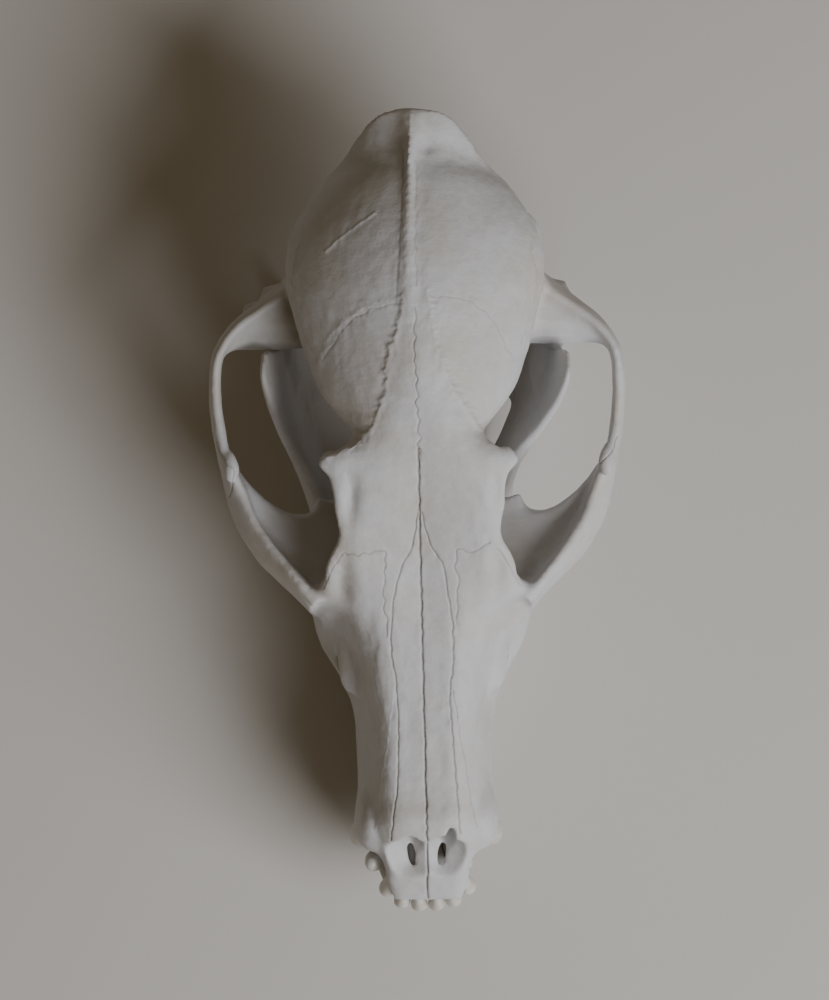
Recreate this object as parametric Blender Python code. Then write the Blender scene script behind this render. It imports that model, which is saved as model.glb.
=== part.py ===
"""A red fox's skull standing on its lower jaw: the cranium, the two jaw halves and their forty-two teeth.

Points are written in millimetres, as (s, x, z): s runs back from the front of the upper incisors, x out from
the midline, and z up, for the cranium from the rim of the upper tooth sockets and for the jaw from the
surface it stands on. The built model is in metres, with the snout towards -Y and the surface at z = 0.
"""

import math

import bmesh
import bpy
import numpy as np

MM = 0.001
MIDDLE = 73.88  # how far back the middle of the skull's length is
UPPER_RIM = 24.5  # height of the upper tooth sockets' rim above the surface
LOWER_RIM = 15.6  # height of the lower tooth sockets' rim
GAP = 0.35  # clearance between a tooth and its socket
JOINT_LINE = 111.0  # how far back the jaw joints are
JAW_SWING = -0.85  # degrees, the lower jaw's turn about the joints' middle
LEAN = 3.6  # how far the left half of the jaw bows in, at the middle of the bow and by its half-length
LEAN_AT = 82.0
LEAN_LENGTH = 10.0
BONE_VOXEL = 0.8
CUT_VOXEL = 0.5
CRANIUM_SHARE = 0.028  # share of the blended mesh's faces that is kept
JAW_SHARE = 0.021
ROOT_LEAN = 0.2  # how far a cheek tooth's root leans in for each millimetre of its depth
SQUARENESS = 2.6  # how square a plate's edges are: 2 is an ellipse
TOOTH_RINGS = 6
TOOTH_SIDES = 8

BONE = ("bone", (0.80, 0.78, 0.73), 0.55)
ENAMEL = ("enamel", (0.86, 0.85, 0.80), 0.30)

# Half-sections of the skull's main body, keyed by s. Each runs from the top of the midline over the edge of
# the roof, down the wall and round the tooth rim to the bottom of the midline, as (x, z).
BODY = {
    2.2: [
        (0, 2.4), (2.5, 2.4), (4.2, 2.3), (5.3, 2.0), (5.9, 1.6),
        (6.1, 1.2), (6.0, 0.7), (5.5, 0.3), (4.4, 0), (0, 0.3),
    ],
    5.0: [
        (0, 4.8), (3.0, 4.8), (5.2, 4.6), (6.5, 4.0), (7.1, 3.2),
        (7.3, 2.4), (7.3, 1.6), (7.1, 0.8), (6.2, 0), (0, 1.0),
    ],
    8.0: [
        (0, 7.8), (3.0, 7.8), (5.4, 7.4), (6.9, 6.4), (7.6, 5.2),
        (8.0, 4.0), (8.1, 2.8), (8.0, 1.5), (7.0, 0.4), (0, 1.6),
    ],
    11.0: [
        (0, 11.4), (3.0, 11.4), (5.4, 10.9), (7.0, 9.6), (8.1, 7.8),
        (8.9, 6.0), (9.5, 4.1), (9.7, 2.2), (8.4, 0.6), (0, 2.0),
    ],
    13.5: [
        (0, 14.6), (3.0, 14.6), (5.6, 14.0), (7.6, 12.2), (9.2, 9.6),
        (10.6, 7.0), (11.7, 4.4), (12.2, 2.0), (10.8, 0.2), (0, 2.2),
    ],
    16.0: [
        (0, 16.6), (3.4, 16.7), (6.2, 15.9), (8.3, 13.7), (10.0, 10.6),
        (11.4, 7.4), (12.4, 4.2), (12.8, 1.8), (11.4, 0), (0, 2.4),
    ],
    21.0: [
        (0, 17.2), (3.7, 17.3), (6.5, 16.4), (8.5, 14.0), (10.1, 10.8),
        (11.4, 7.4), (12.2, 4.0), (12.5, 1.6), (11.0, 0), (0, 2.4),
    ],
    30.0: [
        (0, 18.5), (3.9, 18.6), (6.7, 17.7), (8.6, 15.2), (9.9, 11.8),
        (11.1, 8.0), (12.1, 4.2), (12.6, 1.4), (11.0, 0), (0, 2.4),
    ],
    38.0: [
        (0, 19.9), (4.1, 20.0), (7.1, 19.1), (9.0, 16.5), (10.3, 12.8),
        (11.5, 9.0), (12.6, 4.6), (13.1, 1.4), (11.8, 0), (0, 2.4),
    ],
    44.0: [
        (0, 21.2), (4.5, 21.3), (7.8, 20.4), (9.9, 17.8), (11.2, 14.0),
        (12.5, 10.0), (14.3, 5.0), (15.5, 1.4), (14.0, 0), (0, 2.4),
    ],
    50.0: [
        (0, 22.7), (5.0, 22.9), (8.7, 22.0), (11.0, 19.4), (12.4, 15.8),
        (14.0, 11.6), (16.8, 6.0), (18.9, 1.6), (17.2, 0), (0, 2.4),
    ],
    55.0: [
        (0, 24.2), (5.6, 24.5), (10.0, 23.8), (12.7, 21.4), (14.2, 17.8),
        (15.9, 13.4), (18.7, 7.0), (20.2, 1.8), (18.6, 0), (0, 2.5),
    ],
    60.0: [
        (0, 26.1), (6.2, 26.5), (11.6, 26.2), (16.4, 24.4), (19.2, 20.6),
        (19.8, 15.0), (20.5, 8.0), (20.8, 2.2), (19.4, 0), (0, 2.6),
    ],
    64.0: [
        (0, 28.0), (6.7, 28.5), (12.8, 28.6), (17.4, 26.6), (16.4, 22.0),
        (13.8, 16.4), (15.4, 10.0), (20.2, 5.0), (19.2, 0), (0, 2.6),
    ],
    70.0: [
        (0, 31.0), (7.0, 31.6), (12.2, 31.7), (15.0, 30.4), (12.4, 25.2),
        (9.8, 18.4), (11.2, 10.8), (19.0, 4.6), (17.8, 0.2), (0, 2.8),
    ],
    75.0: [
        (0, 33.6), (7.4, 34.1), (12.8, 34.1), (15.6, 32.8), (12.6, 27.4),
        (9.0, 20.2), (9.2, 11.8), (16.2, 5.4), (15.2, 0.8), (0, 3.0),
    ],
    81.0: [
        (0, 36.6), (8.1, 36.8), (14.0, 36.3), (16.6, 34.9), (13.4, 30.6),
        (9.4, 23.0), (7.6, 17.0), (6.8, 13.5), (5.2, 10.2), (0, 9.2),
    ],
    84.0: [
        (0, 37.9), (8.6, 37.8), (15.2, 37.0), (18.4, 35.4), (14.0, 32.2),
        (10.0, 26.0), (8.0, 19.0), (7.0, 14.2), (5.2, 10.6), (0, 9.6),
    ],
    86.0: [
        (0, 38.6), (8.0, 38.4), (12.4, 37.6), (14.9, 36.2), (12.6, 32.8),
        (10.4, 26.8), (8.4, 19.6), (7.2, 14.6), (5.2, 10.8), (0, 9.8),
    ],
    88.5: [
        (0, 39.4), (6.5, 39.0), (10.2, 37.6), (12.0, 35.2), (12.0, 31.4),
        (11.2, 26.0), (9.4, 20.0), (7.6, 15.0), (5.4, 11.0), (0, 10.0),
    ],
    92.0: [
        (0, 40.5), (5.0, 40.1), (8.8, 38.4), (11.9, 35.6), (14.0, 31.4),
        (14.2, 26.0), (12.0, 20.0), (8.6, 15.2), (5.6, 11.2), (0, 10.2),
    ],
    96.0: [
        (0, 41.6), (3.8, 41.1), (8.6, 39.1), (13.0, 35.8), (16.6, 31.0),
        (17.4, 25.4), (15.0, 19.4), (10.5, 14.6), (6.0, 11.4), (0, 10.4),
    ],
    102.0: [
        (0, 42.8), (3.4, 42.3), (9.4, 39.8), (14.8, 35.8), (19.0, 30.0),
        (20.0, 24.0), (18.0, 17.6), (12.5, 13.0), (6.5, 11.0), (0, 10.6),
    ],
    110.0: [
        (0, 43.4), (3.4, 43.0), (10.2, 40.4), (16.6, 36.0), (21.2, 29.8),
        (22.3, 23.2), (20.0, 16.6), (14.0, 12.2), (7.0, 10.6), (0, 10.4),
    ],
    118.0: [
        (0, 43.2), (3.6, 42.8), (10.8, 40.2), (17.6, 35.8), (22.6, 29.6),
        (23.9, 22.8), (21.4, 16.2), (15.0, 11.6), (7.0, 10.0), (0, 10.0),
    ],
    125.0: [
        (0, 42.0), (3.6, 41.6), (10.6, 39.0), (17.2, 34.8), (21.8, 28.8),
        (23.0, 22.4), (20.6, 15.8), (15.0, 11.0), (7.0, 9.6), (0, 9.6),
    ],
    131.0: [
        (0, 40.2), (3.2, 39.8), (9.4, 37.4), (15.0, 33.2), (19.0, 27.8),
        (20.0, 21.6), (18.0, 15.4), (13.0, 11.0), (6.5, 9.2), (0, 9.2),
    ],
    136.0: [
        (0, 38.2), (2.8, 37.8), (8.0, 35.6), (12.2, 31.6), (15.0, 26.6),
        (15.8, 21.0), (14.4, 15.2), (11.0, 11.0), (6.0, 8.8), (0, 8.8),
    ],
    140.0: [
        (0, 36.0), (2.4, 35.4), (5.8, 33.0), (8.4, 29.2), (9.8, 25.0),
        (10.2, 20.4), (9.8, 15.6), (8.0, 11.6), (5.0, 9.4), (0, 9.2),
    ],
}


def smooth(knots, at):
    """Values at some parameters, on a smooth curve through knots whose first column is the parameter."""
    knots = np.asarray(knots, float)
    t, v = knots[:, 0], knots[:, 1:]
    slope = np.gradient(v, t, axis=0)
    i = np.clip(np.searchsorted(t, at) - 1, 0, len(t) - 2)
    width = (t[i + 1] - t[i])[:, None]
    u = (at - t[i])[:, None] / width
    rise = u * u * (3 - 2 * u)
    bend = width * u * (1 - u) * ((1 - u) * slope[i] - u * slope[i + 1])
    return (1 - rise) * v[i] + rise * v[i + 1] + bend


def by_length(points):
    """The same points, each led by a measure of its distance along them that keeps the curve from looping."""
    steps = np.linalg.norm(np.diff(points, axis=0), axis=1) ** 0.5
    return np.column_stack([np.concatenate([[0], np.cumsum(steps)]), points])


def resample(rows, count):
    """Count rows evenly spread on a smooth curve through the rows given."""
    knots = by_length(np.asarray(rows, float))
    return smooth(knots, np.linspace(0, knots[-1, 0], count))


def body_ring(half, count):
    """The closed loop of a half-section and its mirror image, as count points."""
    loop = np.concatenate([half, half[-2:0:-1] * (-1, 1)])
    knots = by_length(np.concatenate([loop[-3:], loop, loop[:4]]))
    first, last = knots[3, 0], knots[3 + len(loop), 0]
    return smooth(knots, np.linspace(first, last, count, endpoint=False))


def skin(rings):
    """(points, faces) of a closed tube through the rings, capped at both ends."""
    rings = np.asarray(rings, float)
    n, m = rings.shape[:2]
    quads = [
        (i * m + j, i * m + (j + 1) % m, (i + 1) * m + (j + 1) % m, (i + 1) * m + j)
        for i in range(n - 1)
        for j in range(m)
    ]
    return rings.reshape(-1, 3), [tuple(range(m))[::-1], *quads, tuple(range((n - 1) * m, n * m))]


def body(rings=90, sides=48):
    stations = sorted(BODY)
    table = np.array([[s, *np.ravel(BODY[s])] for s in stations], float)
    at = np.linspace(stations[0], stations[-1], rings)
    halves = smooth(table, at).reshape(rings, -1, 2)
    loops = [body_ring(half, sides) for half in halves]
    return skin([np.column_stack([np.full(sides, s), loop]) for s, loop in zip(at, loops)])


def ribbon(near, far, thick, rings=24, sides=14):
    """A plate between the edges near and far, with a (near, far) thickness for each row."""
    rows = resample(np.column_stack([near, far, thick]), rings)
    a, b, t = rows[:, :3], rows[:, 3:6], rows[:, 6:]
    along = np.gradient((a + b) / 2, axis=0)
    face = np.cross(along, b - a)
    face /= np.linalg.norm(face, axis=1)[:, None]
    turn = np.linspace(0, 2 * math.pi, sides, endpoint=False)
    across = np.sign(np.cos(turn)) * np.abs(np.cos(turn)) ** (2 / SQUARENESS)
    out = np.sign(np.sin(turn)) * np.abs(np.sin(turn)) ** (2 / SQUARENESS)
    share = (1 + across) / 2
    middle = a[:, None] + (b - a)[:, None] * share[None, :, None]
    half = (t[:, :1] + (t[:, 1:] - t[:, :1]) * share) / 2
    return skin(middle + face[:, None] * (half * out)[:, :, None])


def tube(path, rings=16, sides=12, lead=(0, 1, 0)):
    """A tube along (s, x, z, radius, radius) rows, the second radius the one nearer to the lead."""
    rows = resample(path, rings)
    along = np.gradient(rows[:, :3], axis=0)
    across = np.cross(along, lead)
    across /= np.linalg.norm(across, axis=1)[:, None]
    out = np.cross(across, along)
    out /= np.linalg.norm(out, axis=1)[:, None]
    turn = np.linspace(0, 2 * math.pi, sides, endpoint=False)[None, :, None]
    wide, high = rows[:, 3, None, None], rows[:, 4, None, None]
    rim = across[:, None] * np.cos(turn) * wide + out[:, None] * np.sin(turn) * high
    return skin(rows[:, None, :3] + rim)


def turned(first, second, degrees):
    """Two coordinates turned in their plane, the first towards the second."""
    c, d = math.cos(math.radians(degrees)), math.sin(math.radians(degrees))
    return first * c - second * d, first * d + second * c


def ball(centre, radii, yaw=0.0, pitch=0.0, rings=14, sides=20):
    """An ellipsoid with (s, x, z) radii, turned in degrees by pitch and then by yaw."""
    lift = np.linspace(-0.97, 0.97, rings)[:, None] * math.pi / 2
    turn = np.linspace(0, 2 * math.pi, sides, endpoint=False)
    s = np.sin(lift) * np.ones(sides) * radii[0]
    x = np.cos(lift) * np.cos(turn) * radii[1]
    z = np.cos(lift) * np.sin(turn) * radii[2]
    s, z = turned(s, z, pitch)
    s, x = turned(s, x, yaw)
    return skin(np.stack([s, x, z], axis=2) + np.asarray(centre, float))


def mirrored(piece):
    points, faces = piece
    return points * (1, -1, 1), [face[::-1] for face in faces]


def both(*pieces):
    """The pieces and their mirror images."""
    return [*pieces, *map(mirrored, pieces)]


# The zygomatic arch: rows of its lower edge, its upper edge, and the thickness at each.
ARCH = [
    [(57, 19.0, 3.5), (58.0, 19.4, 21.0), (4.0, 3.6)],
    [(62, 24.3, 5.2), (62, 22.8, 20.4), (4.2, 3.0)],
    [(67, 29.7, 7.0), (67, 26.6, 18.0), (4.2, 2.6)],
    [(73, 33.4, 8.2), (73, 30.4, 15.8), (3.8, 2.4)],
    [(79, 35.2, 9.4), (78.5, 32.6, 15.2), (3.2, 2.4)],
    [(85, 36.2, 10.6), (84.6, 35.4, 17.6), (2.9, 2.6)],
    [(91, 37.2, 12.0), (91, 36.8, 17.6), (2.6, 2.2)],
    [(98, 37.5, 13.2), (98, 37.3, 19.0), (2.5, 2.1)],
    [(104, 36.7, 12.0), (104, 36.6, 20.2), (2.6, 2.1)],
    [(108.5, 33.5, 10.4), (108.5, 33.5, 20.4), (3.2, 2.4)],
    [(112, 28.6, 9.8), (112, 28.8, 20.2), (4.0, 2.6)],
    [(116, 23.0, 10.4), (116, 23.2, 20.4), (4.4, 3.0)],
    [(120, 19.4, 12.0), (120, 19.4, 20.4), (4.4, 3.4)],
]
# The floor of the orbit, from the cheek's wall out to the arch.
ORBIT_FLOOR = [
    [(56, 12, 10.0), (56, 17.6, 11.5), (12.0, 12.0)],
    [(61, 11, 8.4), (61, 22.0, 10.6), (10.0, 11.0)],
    [(66, 11, 7.4), (66, 27.0, 9.8), (8.0, 7.0)],
    [(70, 11, 6.6), (71, 30.4, 9.8), (6.0, 4.6)],
    [(73.0, 13, 6.2), (76.4, 32.4, 10.8), (4.0, 3.0)],
    [(76.0, 15, 6.6), (83.0, 34.2, 12.2), (3.2, 2.6)],
]
# The shelf that carries the jaw joint's socket, from the braincase out to the arch.
JOINT_SHELF = [
    [(105.6, 18, 14.6), (105.6, 34.0, 15.4), (3.4, 4.4)],
    [(108, 17, 13.8), (108, 32.6, 14.2), (8.0, 8.4)],
    [(112, 16, 13.4), (112, 28.8, 13.8), (8.6, 8.8)],
    [(116, 15, 13.4), (116, 24.6, 13.8), (8.6, 8.0)],
    [(119, 14, 14.0), (119, 21.6, 14.4), (6.0, 5.0)],
]
JOINT_STOP = [
    [(115.2, 17.6, 11.5), (115.6, 18.6, 6.2), (3.4, 2.0)],
    [(115.6, 22.6, 11.5), (116.0, 22.6, 4.4), (3.6, 2.0)],
    [(115.2, 28.2, 12.0), (115.6, 27.0, 7.2), (3.0, 1.8)],
]
NUCHAL_CREST = [
    [(137.5, -1.0, 31.4), (147.6, -1.0, 33.8), (7.0, 1.8)],
    [(137.0, 2.5, 31.0), (148.5, 3.0, 33.4), (7.0, 1.8)],
    [(135.5, 6.0, 28.8), (147.3, 6.6, 32.0), (6.6, 1.7)],
    [(133.5, 8.6, 26.2), (143.9, 9.8, 29.0), (6.0, 1.6)],
    [(131.5, 11.0, 23.2), (139.4, 12.8, 25.6), (5.0, 1.6)],
    [(129.5, 13.8, 20.0), (134.8, 15.5, 22.0), (4.0, 1.6)],
    [(126.5, 16.6, 16.8), (131.0, 19.2, 18.2), (4.0, 1.8)],
    [(123.5, 18.6, 14.0), (127.0, 21.8, 14.8), (4.4, 2.4)],
    [(120.0, 19.6, 12.4), (122.4, 22.8, 12.4), (4.4, 3.0)],
]
SAGITTAL_CREST = [
    [(110, -1.0, 39.4), (110, -1.0, 43.2), (3.0, 2.2)],
    [(116, -1.2, 39.8), (116, -1.2, 43.5), (3.2, 1.8)],
    [(122, -1.2, 39.2), (122, -1.2, 43.0), (3.0, 1.6)],
    [(129, -0.9, 37.6), (129, -0.9, 41.5), (2.8, 1.5)],
    [(136, -0.6, 34.4), (136, -0.6, 39.6), (2.8, 1.4)],
    [(142, -0.4, 30.6), (142, -0.4, 37.8), (3.2, 1.6)],
    [(145.4, -0.2, 28.6), (147.8, -0.2, 34.2), (3.6, 2.0)],
]
PTERYGOID = [
    [(74.5, 8.0, 9.0), (74.5, 8.0, 3.4), (2.4, 2.2)],
    [(80.0, 6.6, 12.0), (79.0, 7.0, 3.8), (2.2, 1.6)],
    [(87.0, 6.0, 12.0), (86.0, 6.4, 4.4), (2.0, 1.4)],
    [(94.0, 5.8, 12.0), (94.0, 6.2, 3.4), (2.0, 1.4)],
    [(99.0, 5.6, 12.0), (101.0, 6.0, 2.2), (2.0, 1.4)],
    [(101.0, 5.6, 12.0), (103.0, 6.0, 3.0), (1.8, 1.2)],
]
# Half of the lower jaw: rows of its lower edge, its upper edge, and the thickness at each.
JAW = [
    [(5.4, 2.6, 11.2), (4.2, 3.4, 15.6), (4.2, 6.6)],
    [(9.0, 3.0, 8.4), (8.6, 4.6, 15.6), (5.2, 8.4)],
    [(14, 3.2, 5.8), (14, 5.0, 15.6), (5.4, 8.0)],
    [(20, 3.6, 4.0), (20, 5.6, 15.2), (5.4, 5.6)],
    [(27, 4.8, 2.6), (27, 6.8, 15.0), (5.4, 5.2)],
    [(36, 7.0, 1.4), (36, 8.2, 15.0), (5.6, 5.2)],
    [(46, 9.8, 0.4), (46, 10.3, 15.2), (6.0, 5.4)],
    [(56, 12.8, -0.3), (56, 12.7, 15.6), (6.4, 6.0)],
    [(66, 15.4, -0.1), (66, 14.6, 15.8), (6.4, 6.0)],
    [(74, 17.0, 1.2), (74, 16.6, 16.6), (5.8, 6.0)],
    [(80, 18.0, 2.8), (79, 19.0, 20.0), (5.0, 5.6)],
    [(87, 18.8, 4.4), (84.5, 22.2, 28.0), (4.2, 4.8)],
    [(94, 19.4, 4.6), (89.5, 25.0, 36.5), (3.6, 4.2)],
    [(100, 20.2, 4.0), (95.5, 27.4, 43.6), (3.2, 3.6)],
    [(104, 21.0, 4.0), (99.8, 28.4, 46.4), (2.8, 2.8)],
    [(106.4, 21.7, 6.2), (103.8, 28.1, 44.6), (2.4, 2.2)],
]
ANGULAR_PROCESS = [
    (96, 20.0, 6.0, 4.4, 2.0),
    (104, 21.0, 3.6, 4.0, 1.9),
    (110, 21.7, 2.4, 2.8, 1.6),
    (114.5, 22.0, 4.2, 1.5, 1.1),
    (116.5, 22.1, 5.8, 0.7, 0.6),
]
JAW_NECK = [(101, 23.2, 22.0, 5.0, 1.8), (106, 24.6, 26.0, 4.2, 2.4), (110.6, 25.6, 29.4, 2.4, 4.0)]

# Round forms and openings, as rows of (s, x, z, radius, radius).
EAR_RIM = [(119.6, 13.0, 10.4, 4.0, 4.0), (119.8, 20.6, 12.2, 3.8, 3.6)]
EAR_OPENING = [(120.0, 26.0, 13.0, 2.5, 2.3), (119.8, 16.0, 11.4, 2.2, 2.0)]
MASTOID_SPUR = [(128.5, 15.4, 12.5, 3.4, 2.6), (131.2, 15.8, 7.0, 2.8, 2.0), (132.4, 15.8, 2.8, 1.5, 1.2)]
NASAL_CAVITY = [
    (9, 2.9, 10.4, 4.4, 2.2),
    (16, 2.9, 10.2, 4.4, 2.3),
    (30, 3.0, 10.0, 4.2, 2.2),
    (36, 3.0, 9.6, 2.0, 1.0),
]
AIRWAY = [(86, 0, 6.6, 2.7, 4.2), (76, 0, 7.0, 2.7, 4.2), (64, 0, 8.4, 2.8, 4.0), (58, 0, 9.4, 1.6, 2.4)]
NERVE_OPENING = [(43.5, 15.6, 4.2, 1.3, 1.1), (47.5, 14.4, 4.8, 1.3, 1.1), (51.0, 13.8, 5.6, 1.0, 0.8)]
SPINE_OPENING = [
    (148.5, 0, 17.4, 6.2, 6.9),
    (142, 0, 17.6, 6.2, 6.9),
    (133, 0, 18.0, 5.6, 6.0),
    (129, 0, 18.4, 3.0, 3.0),
]


def rows(table):
    """A table's rows as the near edges, the far edges and the thicknesses."""
    return [np.array([row[i] for row in table], float) for i in range(3)]


def cranium_bone():
    return [
        body(),
        ribbon(*rows(SAGITTAL_CREST)),
        *both(
            ribbon(*rows(ARCH), rings=44, sides=16),
            ribbon(*rows(ORBIT_FLOOR)),
            ribbon(*rows(JOINT_SHELF)),
            ribbon(*rows(JOINT_STOP), rings=14),
            ribbon(*rows(NUCHAL_CREST), rings=36),
            ribbon(*rows(PTERYGOID)),
            tube(MASTOID_SPUR),
            tube(EAR_RIM, lead=(1, 0, 0)),
            ball((84.6, 16.4, 35.1), (1.3, 1.4, 1.0), yaw=20),  # process behind the eye
            ball((83.2, 34.7, 17.4), (2.9, 1.5, 1.6)),  # process of the cheek bone
            ball((46.6, 13.6, 8.2), (5.4, 2.0, 1.8)),  # ridge over the nerve's opening
            ball((17.2, 10.4, 4.0), (4.8, 2.3, 7.4)),  # root of the canine
            ball((120.5, 12.4, 7.2), (10.0, 6.8, 6.4), yaw=-14),  # ear's drum
            ball((124.6, 20.4, 13.6), (4.4, 2.8, 4.4)),  # mastoid
            ball((139.4, 7.9, 13.6), (4.2, 4.5, 4.8), yaw=25),  # neck's joint
        ),
    ]


def cranium_hollows():
    return [
        tube(SPINE_OPENING),
        tube(AIRWAY),
        *both(
            ball((8.4, 3.2, 11.4), (5.6, 5.6, 5.6)),  # nasal opening
            tube(NASAL_CAVITY),
            ball((10.8, 2.8, 3.0), (2.5, 0.75, 5.0), yaw=9),  # slit in the palate
            ball((9.3, 10.0, -1.0), (2.8, 5.0, 5.8)),  # notch for the lower canine
            ball((83.2, 27.0, 11.0), (11.3, 5.4, 14.0), yaw=40),  # free edge of the eye socket's floor
            tube(NERVE_OPENING),
            tube(EAR_OPENING, lead=(1, 0, 0)),
        ),
    ]


def jaw_bone():
    return [
        ribbon(*rows(JAW), rings=52, sides=16),
        tube(ANGULAR_PROCESS),
        tube(JAW_NECK),
        ball((111.0, 25.8, 29.5), (2.6, 6.4, 2.7), yaw=-8),  # condyle
    ]


def jaw_hollows():
    return [
        ball((96.5, 31.6, 21.0), (12.5, 6.4, 13.0), pitch=-20),  # hollow for the chewing muscle
        ball((23.5, 7.9, 9.4), (1.6, 1.6, 1.0)),  # mental foramen
        ball((94.0, 19.0, 19.0), (2.2, 1.6, 1.4)),  # mandibular foramen
    ]


# Single-rooted teeth as (s, x, z, depth, width) rows from the root's tip to the crown's, z from their rim.
UPPER_PEGS = {
    "incisor_1": [
        (6.4, 1.9, 3.0, 0.6, 0.6), (4.4, 1.8, 1.5, 1.3, 1.0), (2.4, 1.65, -0.4, 1.6, 1.15),
        (1.4, 1.6, -2.2, 1.5, 1.56), (1.2, 1.6, -4.4, 0.5, 1.3),
    ],
    "incisor_2": [
        (7.2, 4.0, 3.6, 0.6, 0.6), (5.2, 4.3, 1.7, 1.4, 1.0), (3.3, 4.6, -0.4, 1.7, 1.2),
        (2.1, 4.75, -2.3, 1.6, 1.56), (2.0, 4.8, -4.7, 0.5, 1.2),
    ],
    "incisor_3": [
        (7.4, 5.6, 5.0, 0.6, 0.6), (6.4, 6.3, 2.2, 1.3, 0.9), (5.2, 7.1, -0.4, 1.6, 1.2),
        (4.4, 7.6, -2.8, 1.65, 1.45), (4.7, 7.8, -5.4, 0.5, 0.7),
    ],
    "canine": [
        (24, 6.9, 12.0, 1.0, 0.8), (19.4, 8.9, 7.2, 2.5, 1.6), (15.6, 11.2, 0.4, 3.0, 2.1),
        (14.6, 12.4, -5, 2.5, 1.9), (15.0, 12.4, -10, 1.8, 1.3), (16.8, 12.4, -15.6, 0.4, 0.35),
    ],
}
LOWER_PEGS = {
    "incisor_1": [
        (8.8, 1.4, -6.0, 0.6, 0.5), (7.0, 1.3, -3.0, 1.4, 0.6), (5.4, 1.25, 0.3, 1.4, 0.7),
        (4.6, 1.25, 2.2, 1.1, 0.8), (4.4, 1.25, 4.0, 0.4, 0.75),
    ],
    "incisor_2": [
        (9.2, 2.4, -6.0, 0.6, 0.5), (7.4, 2.7, -3.0, 1.5, 0.6), (5.8, 3.0, 0.3, 1.5, 0.7),
        (5.0, 3.05, 2.2, 1.2, 0.8), (4.8, 3.05, 4.2, 0.4, 0.75),
    ],
    "incisor_3": [
        (9.6, 3.4, -4.6, 0.6, 0.5), (7.9, 4.0, -2.3, 1.3, 0.5), (6.5, 4.6, 0.3, 1.3, 0.7),
        (5.9, 4.85, 2.3, 1.2, 0.8), (5.6, 4.9, 4.2, 0.4, 0.8),
    ],
    "canine": [
        (19.5, 4.2, -9.4, 1.0, 0.8), (15.6, 4.8, -5.2, 2.2, 1.5), (11.8, 6.5, 0.4, 2.6, 1.8),
        (10.1, 7.5, 5.0, 2.1, 1.7), (9.3, 8.5, 8.4, 1.9, 1.6), (9.0, 8.9, 11.0, 0.9, 0.8),
    ],
}
# Cheek teeth as (s, x, yaw outwards in degrees, length, width, crown height, root depth, lean of the edge
# outwards, profile of the edge from the front to the back).
UPPER_CHEEK = {
    "premolar_1": (23.2, 10.7, 4, 4.0, 2.8, 3.8, 2.4, 0.1, [0.5, 1.0, 0.5, 0.35]),
    "premolar_2": (31.0, 10.9, 3, 7.8, 3.0, 5.4, 6.0, 0.1, [0.35, 0.7, 1.0, 0.5, 0.4, 0.3]),
    "premolar_3": (41.6, 12.1, 10, 8.8, 3.3, 6.0, 6.5, 0.1, [0.3, 0.65, 1.0, 0.55, 0.5, 0.35]),
    "premolar_4": (54.4, 16.9, 15, 13.8, 5.2, 7.6, 7.0, 0.5, [0.4, 0.8, 1.0, 0.45, 0.65, 0.6, 0.35]),
    "molar_1": (66.4, 15.0, -16, 8.6, 10.6, 4.6, 4.0, 0.0, [0.8, 1.0, 0.7, 0.95, 0.7]),
    "molar_2": (74.5, 13.2, -18, 5.2, 7.4, 3.2, 3.2, 0.0, [0.8, 1.0, 0.75, 0.9, 0.7]),
}
LOWER_CHEEK = {
    "premolar_1": (19.0, 5.7, 8, 3.4, 2.4, 3.2, 3.0, 0.0, [0.6, 1.0, 0.6, 0.4]),
    "premolar_2": (26.2, 6.8, 8, 7.2, 2.8, 4.8, 6.0, 0.0, [0.4, 0.9, 1.0, 0.5, 0.4]),
    "premolar_3": (35.0, 8.1, 10, 7.9, 2.9, 5.0, 6.5, 0.0, [0.4, 0.85, 1.0, 0.5, 0.35]),
    "premolar_4": (44.3, 9.9, 12, 8.2, 3.2, 5.4, 7.0, 0.0, [0.4, 0.85, 1.0, 0.55, 0.5, 0.35]),
    "molar_1": (56.8, 12.7, 12, 14.6, 4.6, 8.0, 7.5, -0.1, [0.45, 0.7, 0.55, 1.0, 0.6, 0.34, 0.36, 0.3]),
    "molar_2": (68.4, 14.9, 10, 6.8, 4.8, 3.0, 6.0, 0.0, [0.9, 1.0, 0.7, 0.8, 0.6]),
    "molar_3": (73.8, 16.3, 12, 3.0, 2.8, 1.8, 3.4, 0.0, [0.9, 1.0, 0.9]),
}


def cheek_rings(tooth, sign, sides, grow=0.0):
    """Rings from the root's tip to the crown's edge; sign is -1 for a crown that points down and 1 for up."""
    s, x, yaw, length, width, crown, root, lean, edge = tooth
    turn = np.linspace(0, 2 * math.pi, sides, endpoint=False)
    u, v = -np.cos(turn), np.sin(turn)
    profile = np.interp(u, np.linspace(-1, 1, len(edge)), edge) * crown
    blunt = 0.55 if width / length > 0.8 else 0.12
    layers = [
        (0.45, 0.40, -ROOT_LEAN * root, -root - grow),
        (0.80, 0.72, -ROOT_LEAN * root * 0.6, -root * 0.6),
        (1.0, 1.0, 0, 0.08 * crown),
        (0.97, 0.7 + 0.2 * blunt, lean * 0.3, 0.45 * profile),
        (0.84, blunt, lean * 0.7, profile),
    ]
    c, d = math.cos(math.radians(yaw)), math.sin(math.radians(yaw))
    rings = []
    for long, wide, shift, z in layers:
        a = u * (length / 2 * long + grow)
        b = v * (width / 2 * wide + grow) + shift
        height = sign * np.broadcast_to(z, turn.shape)
        rings.append(np.column_stack([s + a * c - b * d, x + a * d + b * c, height]))
    return rings


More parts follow.
